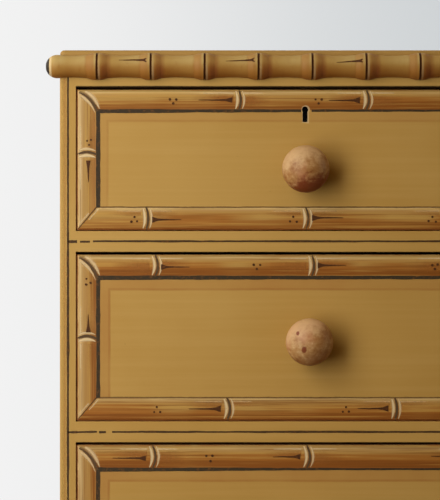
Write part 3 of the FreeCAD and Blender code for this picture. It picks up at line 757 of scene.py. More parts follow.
@dataclass(frozen=True)
class Pigment:
    """The colour that each brush stroke carries, thinner where it dries out."""

    name: str
    sheer: bool

    def material(self) -> bpy.types.Material:
        """Builds the finish.

        Returns:
            The material.
        """
        box = Paintbox(self.name)
        ink = box.node("ShaderNodeAttribute", {"attribute_name": "pigment"}, output="Color")
        dry = box.noise((260, 260, 260), 3, 0.65)
        colour = box.mix(dry.rise(0.5, 0.75) * 0.35, ink, Tone.GLAZE.value)
        rough = dry * PAINT_ROUGHNESS_SPAN + PAINT_ROUGHNESS
        surface = {"Base_Color": colour, "Roughness": rough, "Normal": box.bump(dry, 0.05)}
        if self.sheer:
            side = box.node("ShaderNodeAttribute", {"attribute_name": "side"}, output="Fac")
            soft = box.node("ShaderNodeAttribute", {"attribute_name": "soft"}, output="Fac")
            inset = 1 - abs(side) + (dry - 0.5) * 0.5
            surface["Alpha"] = (inset / soft).least(1).most(0) * ink.beside("Alpha")
        return box.finish(Specular_IOR_Level=PAINT_SPECULAR, **surface)


class GeometryGroup(Graph):
    """A Geometry Nodes group in the making, with named inputs for its sizes."""

    def __init__(self, name: str) -> None:
        """Starts a group that takes geometry in and gives geometry out.

        Args:
            name: The group's name.
        """
        super().__init__(bpy.data.node_groups.new(name, "GeometryNodeTree"))
        self.keys: dict[str, str] = {}
        for way in ("INPUT", "OUTPUT"):
            self.tree.interface.new_socket("Geometry", in_out=way, socket_type="NodeSocketGeometry")
        self.geometry = self.node("NodeGroupInput")

    def take(self, name: str, kind: str, default: Any = None) -> Sock:
        """Adds a named input.

        Args:
            name: What it is called.
            kind: Its socket type.
            default: Its value where nothing is set.

        Returns:
            The input, for use in the group.
        """
        made = self.tree.interface.new_socket(name, in_out="INPUT", socket_type=kind)
        if default is not None:
            made.default_value = default
        self.keys[name] = made.identifier
        outputs = self.geometry.socket.node.outputs
        return Sock(self, next(o for o in outputs if o.identifier == made.identifier))

    def end(self, geometry: Sock) -> "GeometryGroup":
        """Ends the group in real, painted geometry.

        Args:
            geometry: What it has made.

        Returns:
            This group.
        """
        paint = self.take("Paint", "NodeSocketMaterial")
        real = self.node("GeometryNodeRealizeInstances", inputs={0: geometry})
        done = self.node("GeometryNodeSetMaterial", inputs={"Geometry": real, "Material": paint})
        self.node("NodeGroupOutput", inputs={0: done})
        return self

    def grow(self, name: str, seeds: bpy.types.Mesh, sizes: Mapping[str, Any]) -> bpy.types.Object:
        """Runs the group on a mesh and keeps the result as a plain piece.

        Args:
            name: The piece's name.
            seeds: The mesh that the group starts from.
            sizes: Values for its named inputs.

        Returns:
            The finished piece, with no modifier left on it.
        """
        seed = bpy.data.objects.new(f"{name}_seed", seeds)
        bpy.context.scene.collection.objects.link(seed)
        modifier = seed.modifiers.new("grow", "NODES")
        modifier.node_group = self.tree
        for key, value in sizes.items():
            modifier[self.keys[key]] = value
        mesh = bpy.data.meshes.new_from_object(seed.evaluated_get(bpy.context.evaluated_depsgraph_get()))
        bpy.data.objects.remove(seed)
        piece = bpy.data.objects.new(name, mesh)
        bpy.context.scene.collection.objects.link(piece)
        return piece


def brush_ribbon(
    group: GeometryGroup, place: Sock, width: Sock, hand: tuple[Sock, Sock, Sock]
) -> Sock:
    """A ribbon of paint along each line of the seed mesh, drawn by an unsteady hand.

    Args:
        group: The group that it is for.
        place: The place of a point.
        width: Half the ribbon's width at a point.
        hand: The step between points, how far the hand wanders, and where its tremor starts.

    Returns:
        The ribbons, with "side" across them from -1 to 1.
    """
    step, wander, seed = hand
    curve = group.node("GeometryNodeMeshToCurve", inputs={0: group.geometry})
    curve = group.node("GeometryNodeResampleCurve", {"mode": "LENGTH"}, {"Curve": curve, "Length": step})
    start = group.node("ShaderNodeCombineXYZ", inputs={1: seed})
    shifted = group.vector("ADD", {0: place, 1: start})
    tremor = {"Vector": shifted, "Scale": 60.0, "Detail": 2.0}
    drift = group.node("ShaderNodeTexNoise", inputs=tremor, output="Color")
    drift = group.vector("SUBTRACT", {0: drift, 1: (0.5, 0.5, 0.5)})
    drift = group.vector("MULTIPLY", {0: drift, 1: (2.0, 0.0, 2.0)})
    moved = {"Geometry": curve, "Offset": group.vector("SCALE", {0: drift, 3: wander})}
    curve = group.node("GeometryNodeSetPosition", inputs=moved)
    outward = {"Curve": curve, "Normal": (0.0, -1.0, 0.0)}
    curve = group.node("GeometryNodeSetCurveNormal", {"mode": "FREE"}, outward)
    squeeze = {"Vector": shifted, "Scale": 55.0, "Detail": 2.0}
    pressure = group.node("ShaderNodeTexNoise", inputs=squeeze) * 0.6 + 0.7
    ends = {"Start": (0.0, 1.0, 0.0), "End": (0.0, -1.0, 0.0)}
    rib = group.node("GeometryNodeCurvePrimitiveLine", inputs=ends)
    rib = group.node("GeometryNodeResampleCurve", {"mode": "COUNT"}, {"Curve": rib, "Count": 7})
    side = group.node("ShaderNodeSeparateXYZ", inputs={0: place}).beside("Y")
    marked = {"Geometry": rib, "Name": "side", "Value": side}
    rib = group.node("GeometryNodeStoreNamedAttribute", inputs=marked)
    swept = {"Curve": curve, "Profile Curve": rib, "Scale": width * pressure}
    return group.node("GeometryNodeCurveToMesh", inputs=swept)


def brush_group() -> GeometryGroup:
    """Brush strokes laid on a surface: a ribbon for each line of the seed mesh, a dot for each lone point.

    Returns:
        The group. Its seed mesh has "half_width", "lift", "soft" and "pigment" on its points.
    """
    group = GeometryGroup("brush_strokes")
    step = group.take("Step", "NodeSocketFloat", 0.002)
    wander = group.take("Wander", "NodeSocketFloat", 0.0004)
    seed = group.take("Seed", "NodeSocketFloat", 1.0)
    surface = group.take("Surface", "NodeSocketObject")
    reach = group.take("Reach", "NodeSocketFloat", 0.04)
    place = group.node("GeometryNodeInputPosition")
    width = group.node("GeometryNodeInputNamedAttribute", inputs={"Name": "half_width"})
    ribbon = brush_ribbon(group, place, width, (step, wander, seed))
    alone = group.node("GeometryNodeInputMeshVertexNeighbors") < 1
    touch = {"Vertices": 12, "Radius": 1.0}
    dots = {
        "Points": group.geometry,
        "Selection": alone,
        "Instance": group.node("GeometryNodeMeshCircle", {"fill_type": "NGON"}, touch),
        "Rotation": (math.pi / 2, 0.0, 0.0),
        "Scale": width,
    }
    dots = group.node("GeometryNodeInstanceOnPoints", inputs=dots)
    dots = group.node("GeometryNodeRealizeInstances", inputs={0: dots})
    joined = group.node("GeometryNodeJoinGeometry", inputs={0: ribbon})
    group.tree.links.new(dots.socket, joined.socket.node.inputs[0])
    back = group.node("ShaderNodeCombineXYZ", inputs={1: reach})
    space = {"transform_space": "RELATIVE"}
    ray = {
        "Target Geometry": group.node("GeometryNodeObjectInfo", space, {"Object": surface}, "Geometry"),
        "Source Position": group.vector("SUBTRACT", {0: place, 1: back}),
        "Ray Direction": (0.0, 1.0, 0.0),
        "Ray Length": reach * 2,
    }
    hit = group.node("GeometryNodeRaycast", inputs=ray)
    ends = {"Switch": hit, "False": place, "True": hit.beside("Hit Position")}
    landed = group.node("GeometryNodeSwitch", {"input_type": "VECTOR"}, ends)
    lift = group.node("GeometryNodeInputNamedAttribute", inputs={"Name": "lift"})
    lift = group.node("ShaderNodeCombineXYZ", inputs={1: lift})
    raised = group.vector("SUBTRACT", {0: landed, 1: lift})
    laid = group.node("GeometryNodeSetPosition", inputs={"Geometry": joined, "Position": raised})
    return group.end(laid)


def head_group() -> GeometryGroup:
    """Fastener heads, one on each point of the seed mesh, each sized a little differently.

    Returns:
        The group. The heads face along the seed points' "facing".
    """
    group = GeometryGroup("fastener_heads")
    radius = group.take("Radius", "NodeSocketFloat", 0.003)
    depth = group.take("Depth", "NodeSocketFloat", 0.001)
    seed = group.take("Seed", "NodeSocketInt", 1)
    shank = {"Vertices": 14, "Side Segments": 1, "Fill Segments": 2, "Radius": radius, "Depth": depth}
    head = group.node("GeometryNodeMeshCylinder", {"fill_type": "TRIANGLE_FAN"}, shank)
    kind = {"data_type": "FLOAT_VECTOR"}
    facing = group.node("GeometryNodeInputNamedAttribute", kind, {"Name": "facing"})
    turn = group.node("FunctionNodeAlignRotationToVector", {"axis": "Z"}, {"Vector": facing})
    spread = {2: 0.85, 3: 1.12, "Seed": seed}
    size = group.node("FunctionNodeRandomValue", {"data_type": "FLOAT"}, spread, 1)
    heads = {"Points": group.geometry, "Instance": head, "Rotation": turn, "Scale": size}
    return group.end(group.node("GeometryNodeInstanceOnPoints", inputs=heads))


class Layer(float, Enum):
    """How far each kind of paint lies in front of the surface, in millimetres, so that none hides another."""

    CRUST = -0.4
    WASH = 0.10
    LINE = 0.12
    GLINT = 0.13
    PRONG = 0.14
    JOINT_LIP = 0.16
    CORNER_LIP = 0.17
    CORNER_SHADE = 0.19
    FRAME_LEVEL = 0.20
    FRAME_UPRIGHT = 0.21
    JOINT = 0.22
    MITRE = 0.23
    CORNER = 0.24
    BUD = 0.28


@dataclass(frozen=True)
class Stroke:
    """One touch of the brush: a path in millimetres across a front, and the width at each of its points.

    A body under one makes it a wash. Soft is how far a wash's edges reach inwards, and fade is the share
    of its body at each point.
    """

    path: tuple[Point, ...]
    widths: tuple[float, ...]
    tone: Tone
    body: float = 1.0
    soft: float = 0.3
    lift: float = Layer.LINE
    fade: tuple[float, ...] = ()


@dataclass
class PaintedSheet:
    """The strokes on one front, and the surface that they lie on."""

    name: str
    body: str
    face: float
    surface: Optional[bpy.types.Object]
    strokes: list[Stroke] = field(default_factory=list)

    def seeds(self, strokes: Sequence[Stroke]) -> bpy.types.Mesh:
        """Lays the strokes' paths out as lines.

        Args:
            strokes: The strokes to lay.

        Returns:
            A mesh of edges, with each stroke's width, lift, softness and colour on its points.
        """
        points, edges, values = [], [], []
        for stroke in strokes:
            start = len(points)
            fade = stroke.fade or (1.0,) * len(stroke.path)
            for (x, z), width, share in zip(stroke.path, stroke.widths, fade):
                points.append((x * MM, self.face * MM, z * MM))
                pigment = (*stroke.tone.value[:3], stroke.body * share)
                values.append((width * MM / 2, stroke.lift * MM, stroke.soft, pigment))
            edges += [(n, n + 1) for n in range(start, len(points) - 1)]
        mesh = bpy.data.meshes.new(f"{self.name}_paths")
        mesh.from_pydata(points, edges, [])
        for column, name in enumerate(("half_width", "lift", "soft")):
            layer = mesh.attributes.new(name, "FLOAT", "POINT")
            layer.data.foreach_set("value", [row[column] for row in values])
        layer = mesh.attributes.new("pigment", "FLOAT_COLOR", "POINT")
        layer.data.foreach_set("color", [part for row in values for part in row[3]])
        return mesh

    def lay(self, workshop: "Workshop", seed: int) -> None:
        """Makes the strokes' pieces: thin washes, and the solid marks over them.

        Args:
            workshop: The shared brush and its paints.
            seed: Where the hand's tremor starts.
        """
        marks = [s for s in self.strokes if s.body >= 1]
        washes = [s for s in self.strokes if s.body < 1]
        layers = {"marks": (workshop.solid, marks), "washes": (workshop.sheer, washes)}
        for word, (paint, strokes) in layers.items():
            if not strokes:
                continue
            sizes = {"Seed": float(seed), "Paint": paint}
            if self.surface is not None:
                sizes["Surface"] = self.surface
            piece = workshop.brush.grow(f"{self.name}_{word}", self.seeds(strokes), sizes)
            piece.visible_shadow = word != "washes"
            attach(piece, self.body)
            LOG.info("%s: %d strokes", piece.name, len(strokes))


@dataclass(frozen=True)
class StripWidths:
    """How wide the painted cane is along each side of a drawer front, in millimetres."""

    left: float = 19.2
    top: float = 20.4
    right: float = 21.0
    bottom: float = 22.4


class Side(Enum):
    """The sides of a drawer front's painted frame."""

    TOP = "top"
    LEFT = "left"
    BOTTOM = "bottom"
    RIGHT = "right"

    @property
    def level(self) -> bool:
        """Whether the side lies level."""
        return self in (Side.TOP, Side.BOTTOM)

    @property
    def lit(self) -> bool:
        """Whether the painted light falls on the side's outer edge."""
        return self in (Side.TOP, Side.LEFT)


@dataclass(frozen=True)
class Cane:
    """What is painted along one side of a frame: joints, dots and which way the thorns point.

    Places are millimetres from the left end or from the top.
    """

    joints: tuple[float, ...]
    dots: tuple[float, ...]
    thorn: int
    pitch: float = 152.0
    pitches: Point = (138.0, 166.0)
    first: Point = (58.0, 92.0)
    joint_room: float = 34.0
    near_dots: float = 12.0
    far_dots: Point = (50.0, 78.0)
    dot_room: float = 26.0

    def grown(self, length: float, hand: random.Random) -> "Cane":
        """Carries the cane on to its far end, by the spacing that it has.

        Args:
            length: The side's whole length.
            hand: Where the painter's unevenness comes from.

        Returns:
            The cane with its further joints and dots.
        """
        joints, dots = list(self.joints), list(self.dots)
        place = joints[-1] if joints else hand.uniform(*self.first) - self.pitch
        while place + self.pitch + self.joint_room < length:
            place += hand.uniform(*self.pitches)
            if place > length - self.joint_room:
                break
            joints.append(place)
            dots.append(place - hand.choice((self.near_dots, hand.uniform(*self.far_dots))))
        kept = tuple(d for d in dots if self.dot_room < d < length - self.dot_room)
        return Cane(tuple(joints), kept, self.thorn)


@dataclass
class DrawerFront:
    """One drawer's front: its painted frame, the paint in its gaps and the drawer behind it."""

    name: str
    canes: dict[Side, Cane]
    strips: StripWidths = field(default_factory=StripWidths)
    richness: float = 0.01
    penumbra: float = 11.6
    dusk: float = 0.5
    taper: float = 0.5
    taper_length: float = 260.0
    keyhole_drop: Optional[float] = None
    keyhole_room: Point = (4.0, 6.5)
    side_crust: float = 1.6
    bottom_crust: float = 1.1
    seed: int = 1

    def __post_init__(self) -> None:
        """Reads the front's place from the frame."""
        low, high = (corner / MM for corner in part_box(f"{self.name}_front"))
        self.left, self.bottom, self.right, self.top = low.x, low.z, high.x, high.z
        self.face = low.y
        self.keyhole = None
        if self.keyhole_drop is not None:
            self.keyhole = Keyhole((low.x + high.x) / 2, high.z - self.keyhole_drop)
        self.hand = random.Random(self.seed)

    def place(self, side: Side, along: float, across: float) -> Point:
        """A point on the painted frame.

        Args:
            side: The side that it is on.
            along: Millimetres from the left end or the top.
            across: Nought at the lit edge, one at the shaded edge.

        Returns:
            Its x and z.
        """
        if side is Side.TOP:
            return self.left + along, self.top - across * self.strips.top
        if side is Side.BOTTOM:
            return self.left + along, self.bottom + (1 - across) * self.strips.bottom
        if side is Side.LEFT:
            return self.left + across * self.strips.left, self.top - along
        return self.right - (1 - across) * self.strips.right, self.top - along

    def joint(self, side: Side, at: float) -> list[Stroke]:
        """A cane joint: a bowed dark line between two cream lips.

        Args:
            side: The side that it is on.
            at: Where along that side.

        Returns:
            Its strokes.
        """
        bow = self.hand.uniform(2.2, 4.0) * (1 if side.level else -0.85)
        steps = [n / 6 for n in range(7)]

        def bowed(offset: float, start: float, end: float) -> tuple[Point, ...]:
            """The bowed path, moved along the cane."""
            ways = [start + (end - start) * t for t in steps]
            return tuple(self.place(side, at + offset + bow * (1 - (2 * w - 1) ** 2), w) for w in ways)

        def swelling(full: float, least: float, span: float) -> tuple[float, ...]:
            """The width along a path that is fullest about its middle."""
            arcs = (math.sin(math.pi * (0.12 + span * t)) for t in steps)
            return tuple(full * (least + (1 - least) * arc) for arc in arcs)

        lips = []
        faint, bright = (3.6, 0.75), (4.6, 0.92)
        pair = (bright, faint) if side.level else (faint, bright)
        for offset, (full, body) in zip((-3.4, 3.3), pair):
            widths = swelling(full, 0.1, 0.84)
            path = bowed(offset, 0.06, 0.95)
            lips.append(Stroke(path, widths, Tone.CREAM, body, 0.7, Layer.JOINT_LIP))
        dark = self.hand.uniform(2.2, 2.8) * (1.0 if side.level else 1.15)
        line = Stroke(bowed(0, 0.0, 1.0), swelling(dark, 0.4, 0.76), Tone.JOINT, lift=Layer.JOINT)
        return [*lips, line]

    def shading(self, side: Side, at: float, thorn: int) -> list[Stroke]:
        """The brown washes that a painter draws away from a joint on both sides.

        Args:
            side: The side that it is on.
            at: Where the joint is along that side.
            thorn: Which way the thorn points.

        Returns:
            Their strokes.
        """
        body = self.hand.uniform(0.5, 0.72) if side.lit else self.hand.uniform(0.3, 0.55)
        reaches = self.hand.uniform(26, 38), self.hand.uniform(24, 34)
        if not side.level:
            body, bands = body * 0.6, ((0.68, 8.4), (0.70, 8.0))
        elif side.lit:
            bands = ((0.40, 9.0), (0.54, 12.6))
        else:
            bands = ((0.33, 7.4), (0.28, 5.2))
        gleam = 0.7 if side.lit else 0.35
        start, fade = 5.0, (1.0, 1.0, 0.0)
        washes = []
        for way, reach, (across, tall) in zip((thorn, -thorn), reaches, bands):
            fars = (start, reach * 0.5, reach * 1.3)
            wash = tuple(self.place(side, at + way * far, across) for far in fars)
            widths = (tall, tall * 1.04, tall * 0.9)
            washes.append(Stroke(wash, widths, Tone.GLAZE, body, 0.8, Layer.WASH, fade))
            fars = (start, reach * 0.5, reach - 1)
            glint = tuple(self.place(side, at + way * far, 0.17) for far in fars)
            washes.append(Stroke(glint, (2.2, 1.7, 1.2), Tone.CREAM, gleam, 0.6, Layer.GLINT))
        return washes

    def thorn(self, side: Side, at: float, way: int) -> Stroke:
        """A bud drawn out to a thorn beside a joint.

        Args:
            side: The side that it is on.
            at: Where the joint is along that side.
            way: Which way it points.

        Returns:
            Its stroke.
        """
        length = self.hand.uniform(27, 34) * (1.0 if side.level else 0.66)
        across = self.hand.uniform(0.47, 0.57)
        start, steps = 6.2, (0.0, 0.08, 0.18, 0.34, 0.65, 1.0)
        path = tuple(self.place(side, at + way * (start + length * t), across) for t in steps)
        long, short = (5.8, 4.6, 2.4, 1.6, 1.2, 0.6), (4.6, 4.2, 3.4, 2.3, 1.4, 0.5)
        return Stroke(path, long if side.level else short, Tone.THORN, lift=Layer.BUD)

    def dots(self, side: Side, at: float, thorn: int) -> list[Stroke]:
        """Three small eyes in a triangle.

        Args:
            side: The side that they are on.
            at: Where along that side.
            thorn: Which way the cane's thorns point.

        Returns:
            Their strokes.
        """
        flip = 1 if side.lit else -1
        spots = ((-3.1, -0.08 * flip), (3.1, -0.08 * flip), (0.3, 0.12 * flip))
        if not side.level and thorn > 0:
            spots = ((-2.0, -0.06), (-2.0, 0.17), (2.1, 0.05))
        middle, eyes = 0.55, []
        for along, up in spots:
            size, drift = self.hand.uniform(2.0, 2.7), self.hand.uniform(-0.7, 0.7)
            spot = self.place(side, at + along + drift, middle + up + drift * 0.03)
            eyes.append(Stroke((spot,), (size,), Tone.THORN, lift=Layer.BUD))
        return eyes

    def frame_lines(self) -> list[Stroke]:
        """Draws the cast shadow inside the lit sides and the fine outline inside the others.

        Returns:
            Their strokes.
        """
        left, right = self.left + self.strips.left, self.right - self.strips.right
        top, bottom = self.top - self.strips.top, self.bottom + self.strips.bottom
        spans = [(left, right)]
        if self.keyhole is not None:
            before, after = self.keyhole_room
            spans = [(left, self.keyhole.x - before), (self.keyhole.x + after, right)]
        lines = []
        for start, end in spans:
            over = [start + (end - start) * n / 12 for n in range(13)]
            thin = [1 - (1 - self.taper) * min(1.0, (x - left) / self.taper_length) for x in over]
            heavy = tuple(self.hand.uniform(3.8, 4.6) * share for share in thin)
            path = tuple((x, top - 1.2 * share) for x, share in zip(over, thin))
            lines.append(Stroke(path, heavy, Tone.INK, lift=Layer.FRAME_LEVEL))
        down = [top - (top - bottom) * n / 6 for n in range(7)]
        heavy = tuple(self.hand.uniform(3.4, 4.4) for _ in down)
        path = tuple((left + 1.5, z) for z in down)
        lines.append(Stroke(path, heavy, Tone.INK, lift=Layer.FRAME_UPRIGHT))
        corner, fine = (right, bottom), (2.0, 2.0)
        outlines = {Layer.FRAME_LEVEL: ((left, bottom), corner), Layer.FRAME_UPRIGHT: ((right, top), corner)}
        for layer, path in outlines.items():
            lines.append(Stroke(path, fine, Tone.GRIME, self.hand.uniform(0.55, 0.85), 0.7, layer))
        return lines

    def corners(self) -> list[Stroke]:
        """Draws rounded cane ends at two corners, and plain mitres at the other two.

        Returns:
            Their strokes.
        """
        wide, tall = self.strips.left, self.strips.top
        far_wide, far_tall = self.strips.right, self.strips.bottom
        bend = ((0.10, 0.13), (0.30, 0.20), (0.51, 0.33), (0.74, 0.54), (0.92, 0.79), (1.05, 1.05))
        core, shade = (1.0, 1.6, 2.0, 2.3, 2.5, 2.6), (3.2, 4.8, 5.6, 5.2, 4.0, 2.6)
        lips = {0.11: (3.4, 6.0, 6.4, 4.4, 0.6), -0.11: (4.0, 5.4, 4.2, 2.0, 0.4)}

        def turned(spots: Sequence[Point], far: bool, shift: float) -> tuple[Point, ...]:
            """The bend at the top left, or turned half round at the bottom right.

            Args:
                spots: The bend's points, as shares of the strips' widths.
                far: Whether it is the bend at the bottom right.
                shift: How far it is moved across itself.

            Returns:
                The points in millimetres.
            """
            moved = [(u + shift, v - shift) for u, v in spots]
            if far:
                return tuple((self.right - u * far_wide, self.bottom + v * far_tall) for u, v in moved)
            return tuple((self.left + u * wide, self.top - v * tall) for u, v in moved)

        strokes = []
        for far in (False, True):
            for shift, widths in lips.items():
                path = turned(bend[1:], far, shift)
                strokes.append(Stroke(path, widths, Tone.CREAM, 0.75, 0.8, Layer.CORNER_LIP))
            path = turned(bend, far, 0.01)
            strokes.append(Stroke(path, shade, Tone.GRIME, 0.6, 0.7, Layer.CORNER_SHADE))
            strokes.append(Stroke(turned(bend, far, -0.02), core, Tone.JOINT, lift=Layer.CORNER))
        low = (self.left + wide, self.bottom + far_tall), (self.left + 0.8, self.bottom + 1.0)
        high = (self.right - far_wide, self.top - tall), (self.right - 0.8, self.top - 1.0)
        for inner, outer in (low, high):
            strokes.append(Stroke((inner, outer), (2.2, 1.6), Tone.GRIME, 0.8, 0.5, Layer.MITRE))
            for aside, reach in ((-2.2, (0.35, 0.9)), (2.4, (0.0, 0.5))):
                ends = [tuple(a + (b - a) * t for a, b in zip(inner, outer)) for t in reach]
                pale = tuple((x + aside * 0.72, z - aside * 0.72) for x, z in ends)
                strokes.append(Stroke(pale, (2.6, 1.8), Tone.CREAM, 0.6, 0.8, Layer.CORNER_LIP))
        return strokes

    def strokes(self) -> list[Stroke]:
        """Draws every stroke on this front.

        Returns:
            The strokes, in the order of the painter's hand.
        """
        made = self.frame_lines() + self.corners()
        for side, seen in self.canes.items():
            length = self.right - self.left if side.level else self.top - self.bottom
            cane = seen.grown(length, self.hand)
            for at in cane.joints:
                made += self.shading(side, at, cane.thorn) + self.joint(side, at)
                made.append(self.thorn(side, at, cane.thorn))
            for at in cane.dots:
                made += self.dots(side, at, cane.thorn)
        return made + self.crust()

    def crust(self) -> list[Stroke]:
        """Old paint that has built up in the narrow gaps beside and below the front, behind its face.

        Returns:
            Its strokes.
        """
        low_left, low_right = (self.left, self.bottom), (self.right, self.bottom)
        edges = [
            (low_left, (self.left, self.top), self.side_crust),
            (low_right, (self.right, self.top), self.side_crust),
            (low_left, low_right, self.bottom_crust),
        ]
        return [Stroke((a, b), (width, width), Tone.COLLAR, lift=Layer.CRUST) for a, b, width in edges]

    def dress(self, workshop: "Workshop") -> None:
        """Paints the front, lays its strokes and finishes the drawer behind it.

        Args:
            workshop: The shared brushes and finishes.
        """
        corners = ((self.left, self.bottom), (self.right, self.top))
        paint = f"{self.name}_front_paint"
        tints = (self.richness, self.penumbra, self.dusk)
        finish = FramedFront(paint, *corners, self.strips, self.face, *tints, self.keyhole)
        workshop.dress(f"{self.name}_front", finish.material())
        boards = {"left_side": Grain.Y, "right_side": Grain.Y, "back": Grain.X, "bottom": Grain.X}
        for board, grain in boards.items():
            workshop.dress(f"{self.name}_{board}", workshop.pine[grain])
        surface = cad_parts[f"{self.name}_front"]
        body = f"{self.name}_drawer"
        sheet = PaintedSheet(f"{self.name}_bamboo", body, self.face, surface, self.strokes())
        sheet.lay(workshop, self.seed)


@dataclass
class Workshop:
    """The finishes, brushes and tools that every sub-assembly shares."""

    head_standoff: float = 0.0002

    def __post_init__(self) -> None:
        """Makes each shared finish and geometry group once."""
        self.pine = {grain: BarePine(grain).material() for grain in Grain}
        self.brass = AgedBrass("screw_brass").material()
        self.solid = Pigment("solid_pigment", False).material()
        self.sheer = Pigment("sheer_pigment", True).material()
        self.brush = brush_group()
        self.heads = head_group()

    @staticmethod
    def dress(node: str, material: bpy.types.Material) -> None:
        """Gives a CAD node its finish.

        Args:
            node: The node's name.
            material: Its material.
        """
        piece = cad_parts[node]
        piece.data.materials.clear()
        piece.data.materials.append(material)
        LOG.info("%s: %s", node, material.name)

    def fasten(
        self, name: str, points: Sequence[Sequence[float]], sizes: Mapping[str, Any]
    ) -> bpy.types.Object:
        """Sets fastener heads that face backwards.

        Args:
            name: The piece's name.
            points: Where the heads are.
            sizes: Their radius and depth, their seed and their paint.

        Returns:
            All the heads, as one piece.
        """
        mesh = bpy.data.meshes.new(f"{name}_places")
        mesh.from_pydata(points, [], [])
        facing = mesh.attributes.new("facing", "FLOAT_VECTOR", "POINT")
        facing.data.foreach_set("vector", (0.0, 1.0, 0.0) * len(points))
        LOG.info("%s: %d heads", name, len(points))
        return self.heads.grow(name, mesh, sizes)


@dataclass
class Case:
    """The fixed case: sides, top, front frame, moulding, feet, back and the runners inside."""

    line_width: float = 2.2
    rail_line_width: float = 2.1
    line_inset: float = 8.2
    line_points: int = 24
    line_press: Point = (0.75, 1.15)
    first_dash: float = 15.0
    first_dash_press: float = 1.4
    line_shade: float = 3.2
    painted_depth: float = 9.0
    top_gap: float = 2.6
    ring_count: int = 18
    end_length: float = 51.1
    foot_ring_drop: float = 14.0
    foot_ring_pitch: float = 42.0
    back_count: int = 6
    nail_radius: float = 0.0034
    nail_depth: float = 0.001
    nail_inset: float = 0.03
    nail_rise: float = 0.01
    nail_drop: float = 0.012
    line_breaks: dict[str, tuple[float, ...]] = field(
        default_factory=lambda: {
            "drawer_rail_1": (9.0, 12.0, 22.0, 25.0),
            "drawer_rail_2": (29.0, 31.0, 38.0, 44.0),
            "drawer_rail_3": (18.0, 21.0),
            "bottom_rail": (34.0, 36.5),
        }
    )
    seed: int = 11

    def dress(self, workshop: Workshop) -> None:
        """Finishes the whole case.

        Args:
            workshop: The shared brushes and finishes.
        """
        self._boards(workshop)
        self._turnings(workshop)
        self._lines(workshop)
        self._thorns(workshop)
        self._nails(workshop)

    def _boards(self, workshop: Workshop) -> None:
        """Paints the boards that show and leaves the hidden ones bare.

        Args:
            workshop: The shared brushes and finishes.
        """
        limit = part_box("drawer_rail_1")[0].y / MM + self.painted_depth
        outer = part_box("side_panel_right")[1].x / MM
        top_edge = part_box("short_left_front")[1].z / MM + self.top_gap
        left, right = (corner.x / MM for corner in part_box("back_boards"))
        row = (left, (right - left) / self.back_count)
        rails = ("drawer_rail_1", "drawer_rail_2", "drawer_rail_3", "bottom_rail")
        finishes = {
            OchrePaint("top_rail_paint", Grain.X, limit, shaded_edge=top_edge): ("top_rail",),
            OchrePaint("rail_paint", Grain.X, limit): rails,
            OchrePaint("upright_paint", Grain.Z, limit): ("centre_divider",),
            OchrePaint("side_paint", Grain.Z, limit, outer - 2.2): ("side_panel_left", "side_panel_right"),
            OchrePaint("top_paint", Grain.X, dull=0.4): ("top_board",),
            BarePine(Grain.Z, "back_pine", row): ("back_boards",),
        }
        dressed = {finish.material(): nodes for finish, nodes in finishes.items()}
        dressed[workshop.pine[Grain.X]] = ("bottom_board", "drawer_stops", "foot_blocks")
        dressed[workshop.pine[Grain.Y]] = ("centre_runner", "side_runners", "kickers")
        for material, nodes in dressed.items():
            for node in nodes:
                workshop.dress(node, material)

    def _moulding(self) -> tuple[Vector, Vector, float]:
        """Reads the front moulding's place from the frame.

        Returns:
            Its lowest and highest corners and the pitch of its rings, in millimetres.
        """
        low, high = (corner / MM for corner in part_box("front_moulding"))
        return low, high, (high.x - low.x - 2 * self.end_length) / (self.ring_count - 1)

    def _turnings(self, workshop: Workshop) -> None:
        """Paints the bamboo moulding and the feet.

        Args:
            workshop: The shared brushes and finishes.
        """
        low, high, pitch = self._moulding()
        first, middle = low.x + self.end_length, (low.z + high.z) / 2
        finish = BambooTurning("front_cane", Grain.X, first, pitch, middle, high.x)
        workshop.dress("front_moulding", finish.material())
        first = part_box("bottom_rail")[0].z / MM - self.foot_ring_drop
        foot = BambooTurning("foot_cane", Grain.Z, first, self.foot_ring_pitch).material()
        for node in ("front_left_foot", "front_right_foot", "back_left_foot", "back_right_foot"):
            workshop.dress(node, foot)

    def _lines(self, workshop: Workshop) -> None:
        """Draws the fine dark lines along the front edges of the sides, the rails and the divider.

        Args:
            workshop: The shared brushes and finishes.
        """
        hand = random.Random(self.seed)
        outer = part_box("side_panel_right")[1].x / MM - self.line_inset
        face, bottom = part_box("bottom_rail")[0].y / MM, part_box("bottom_rail")[0].z / MM
        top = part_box("front_moulding")[0].z / MM
        strokes = []

        def line(start: Point, end: Point, width: float = self.line_width) -> None:
            """Adds one long line, pressed unevenly.

            Args:
                start: Where it starts.
                end: Where it ends.
                width: Its usual width.
            """
            shares = [n / self.line_points for n in range(self.line_points + 1)]
            path = tuple(tuple(a + (b - a) * t for a, b in zip(start, end)) for t in shares)
            widths = tuple(width * hand.uniform(*self.line_press) for _ in path)
            strokes.append(Stroke(path, widths, Tone.UMBER))

        for x in (-outer, outer):
            line((x, bottom + 2), (x, top + 6))
            beside = tuple((x - self.line_shade, z) for z in (bottom + 4, (bottom + top) / 2, top + 4))
            strokes.append(Stroke(beside, (4.4, 3.6, 4.2), Tone.PENUMBRA, 0.45, 0.9, Layer.WASH))
        for rail, breaks in self.line_breaks.items():
            low, high = (corner.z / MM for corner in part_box(rail))
            level = (low + high) / 2
            ends = [0.0, *breaks, 2 * outer]
            for start, end in zip(ends[::2], ends[1::2]):
                press = self.first_dash_press if end < self.first_dash else 1.0
                begin = (start - outer, level + hand.uniform(-0.3, 0.3))
                line(begin, (end - outer, level), self.rail_line_width * press)
        rail_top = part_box("drawer_rail_1")[1].z / MM
        line((0.0, rail_top - 10), (0.0, top + 4))
        sheet = PaintedSheet("case_lines", "carcass", face, None, strokes)
        sheet.lay(workshop, self.seed)

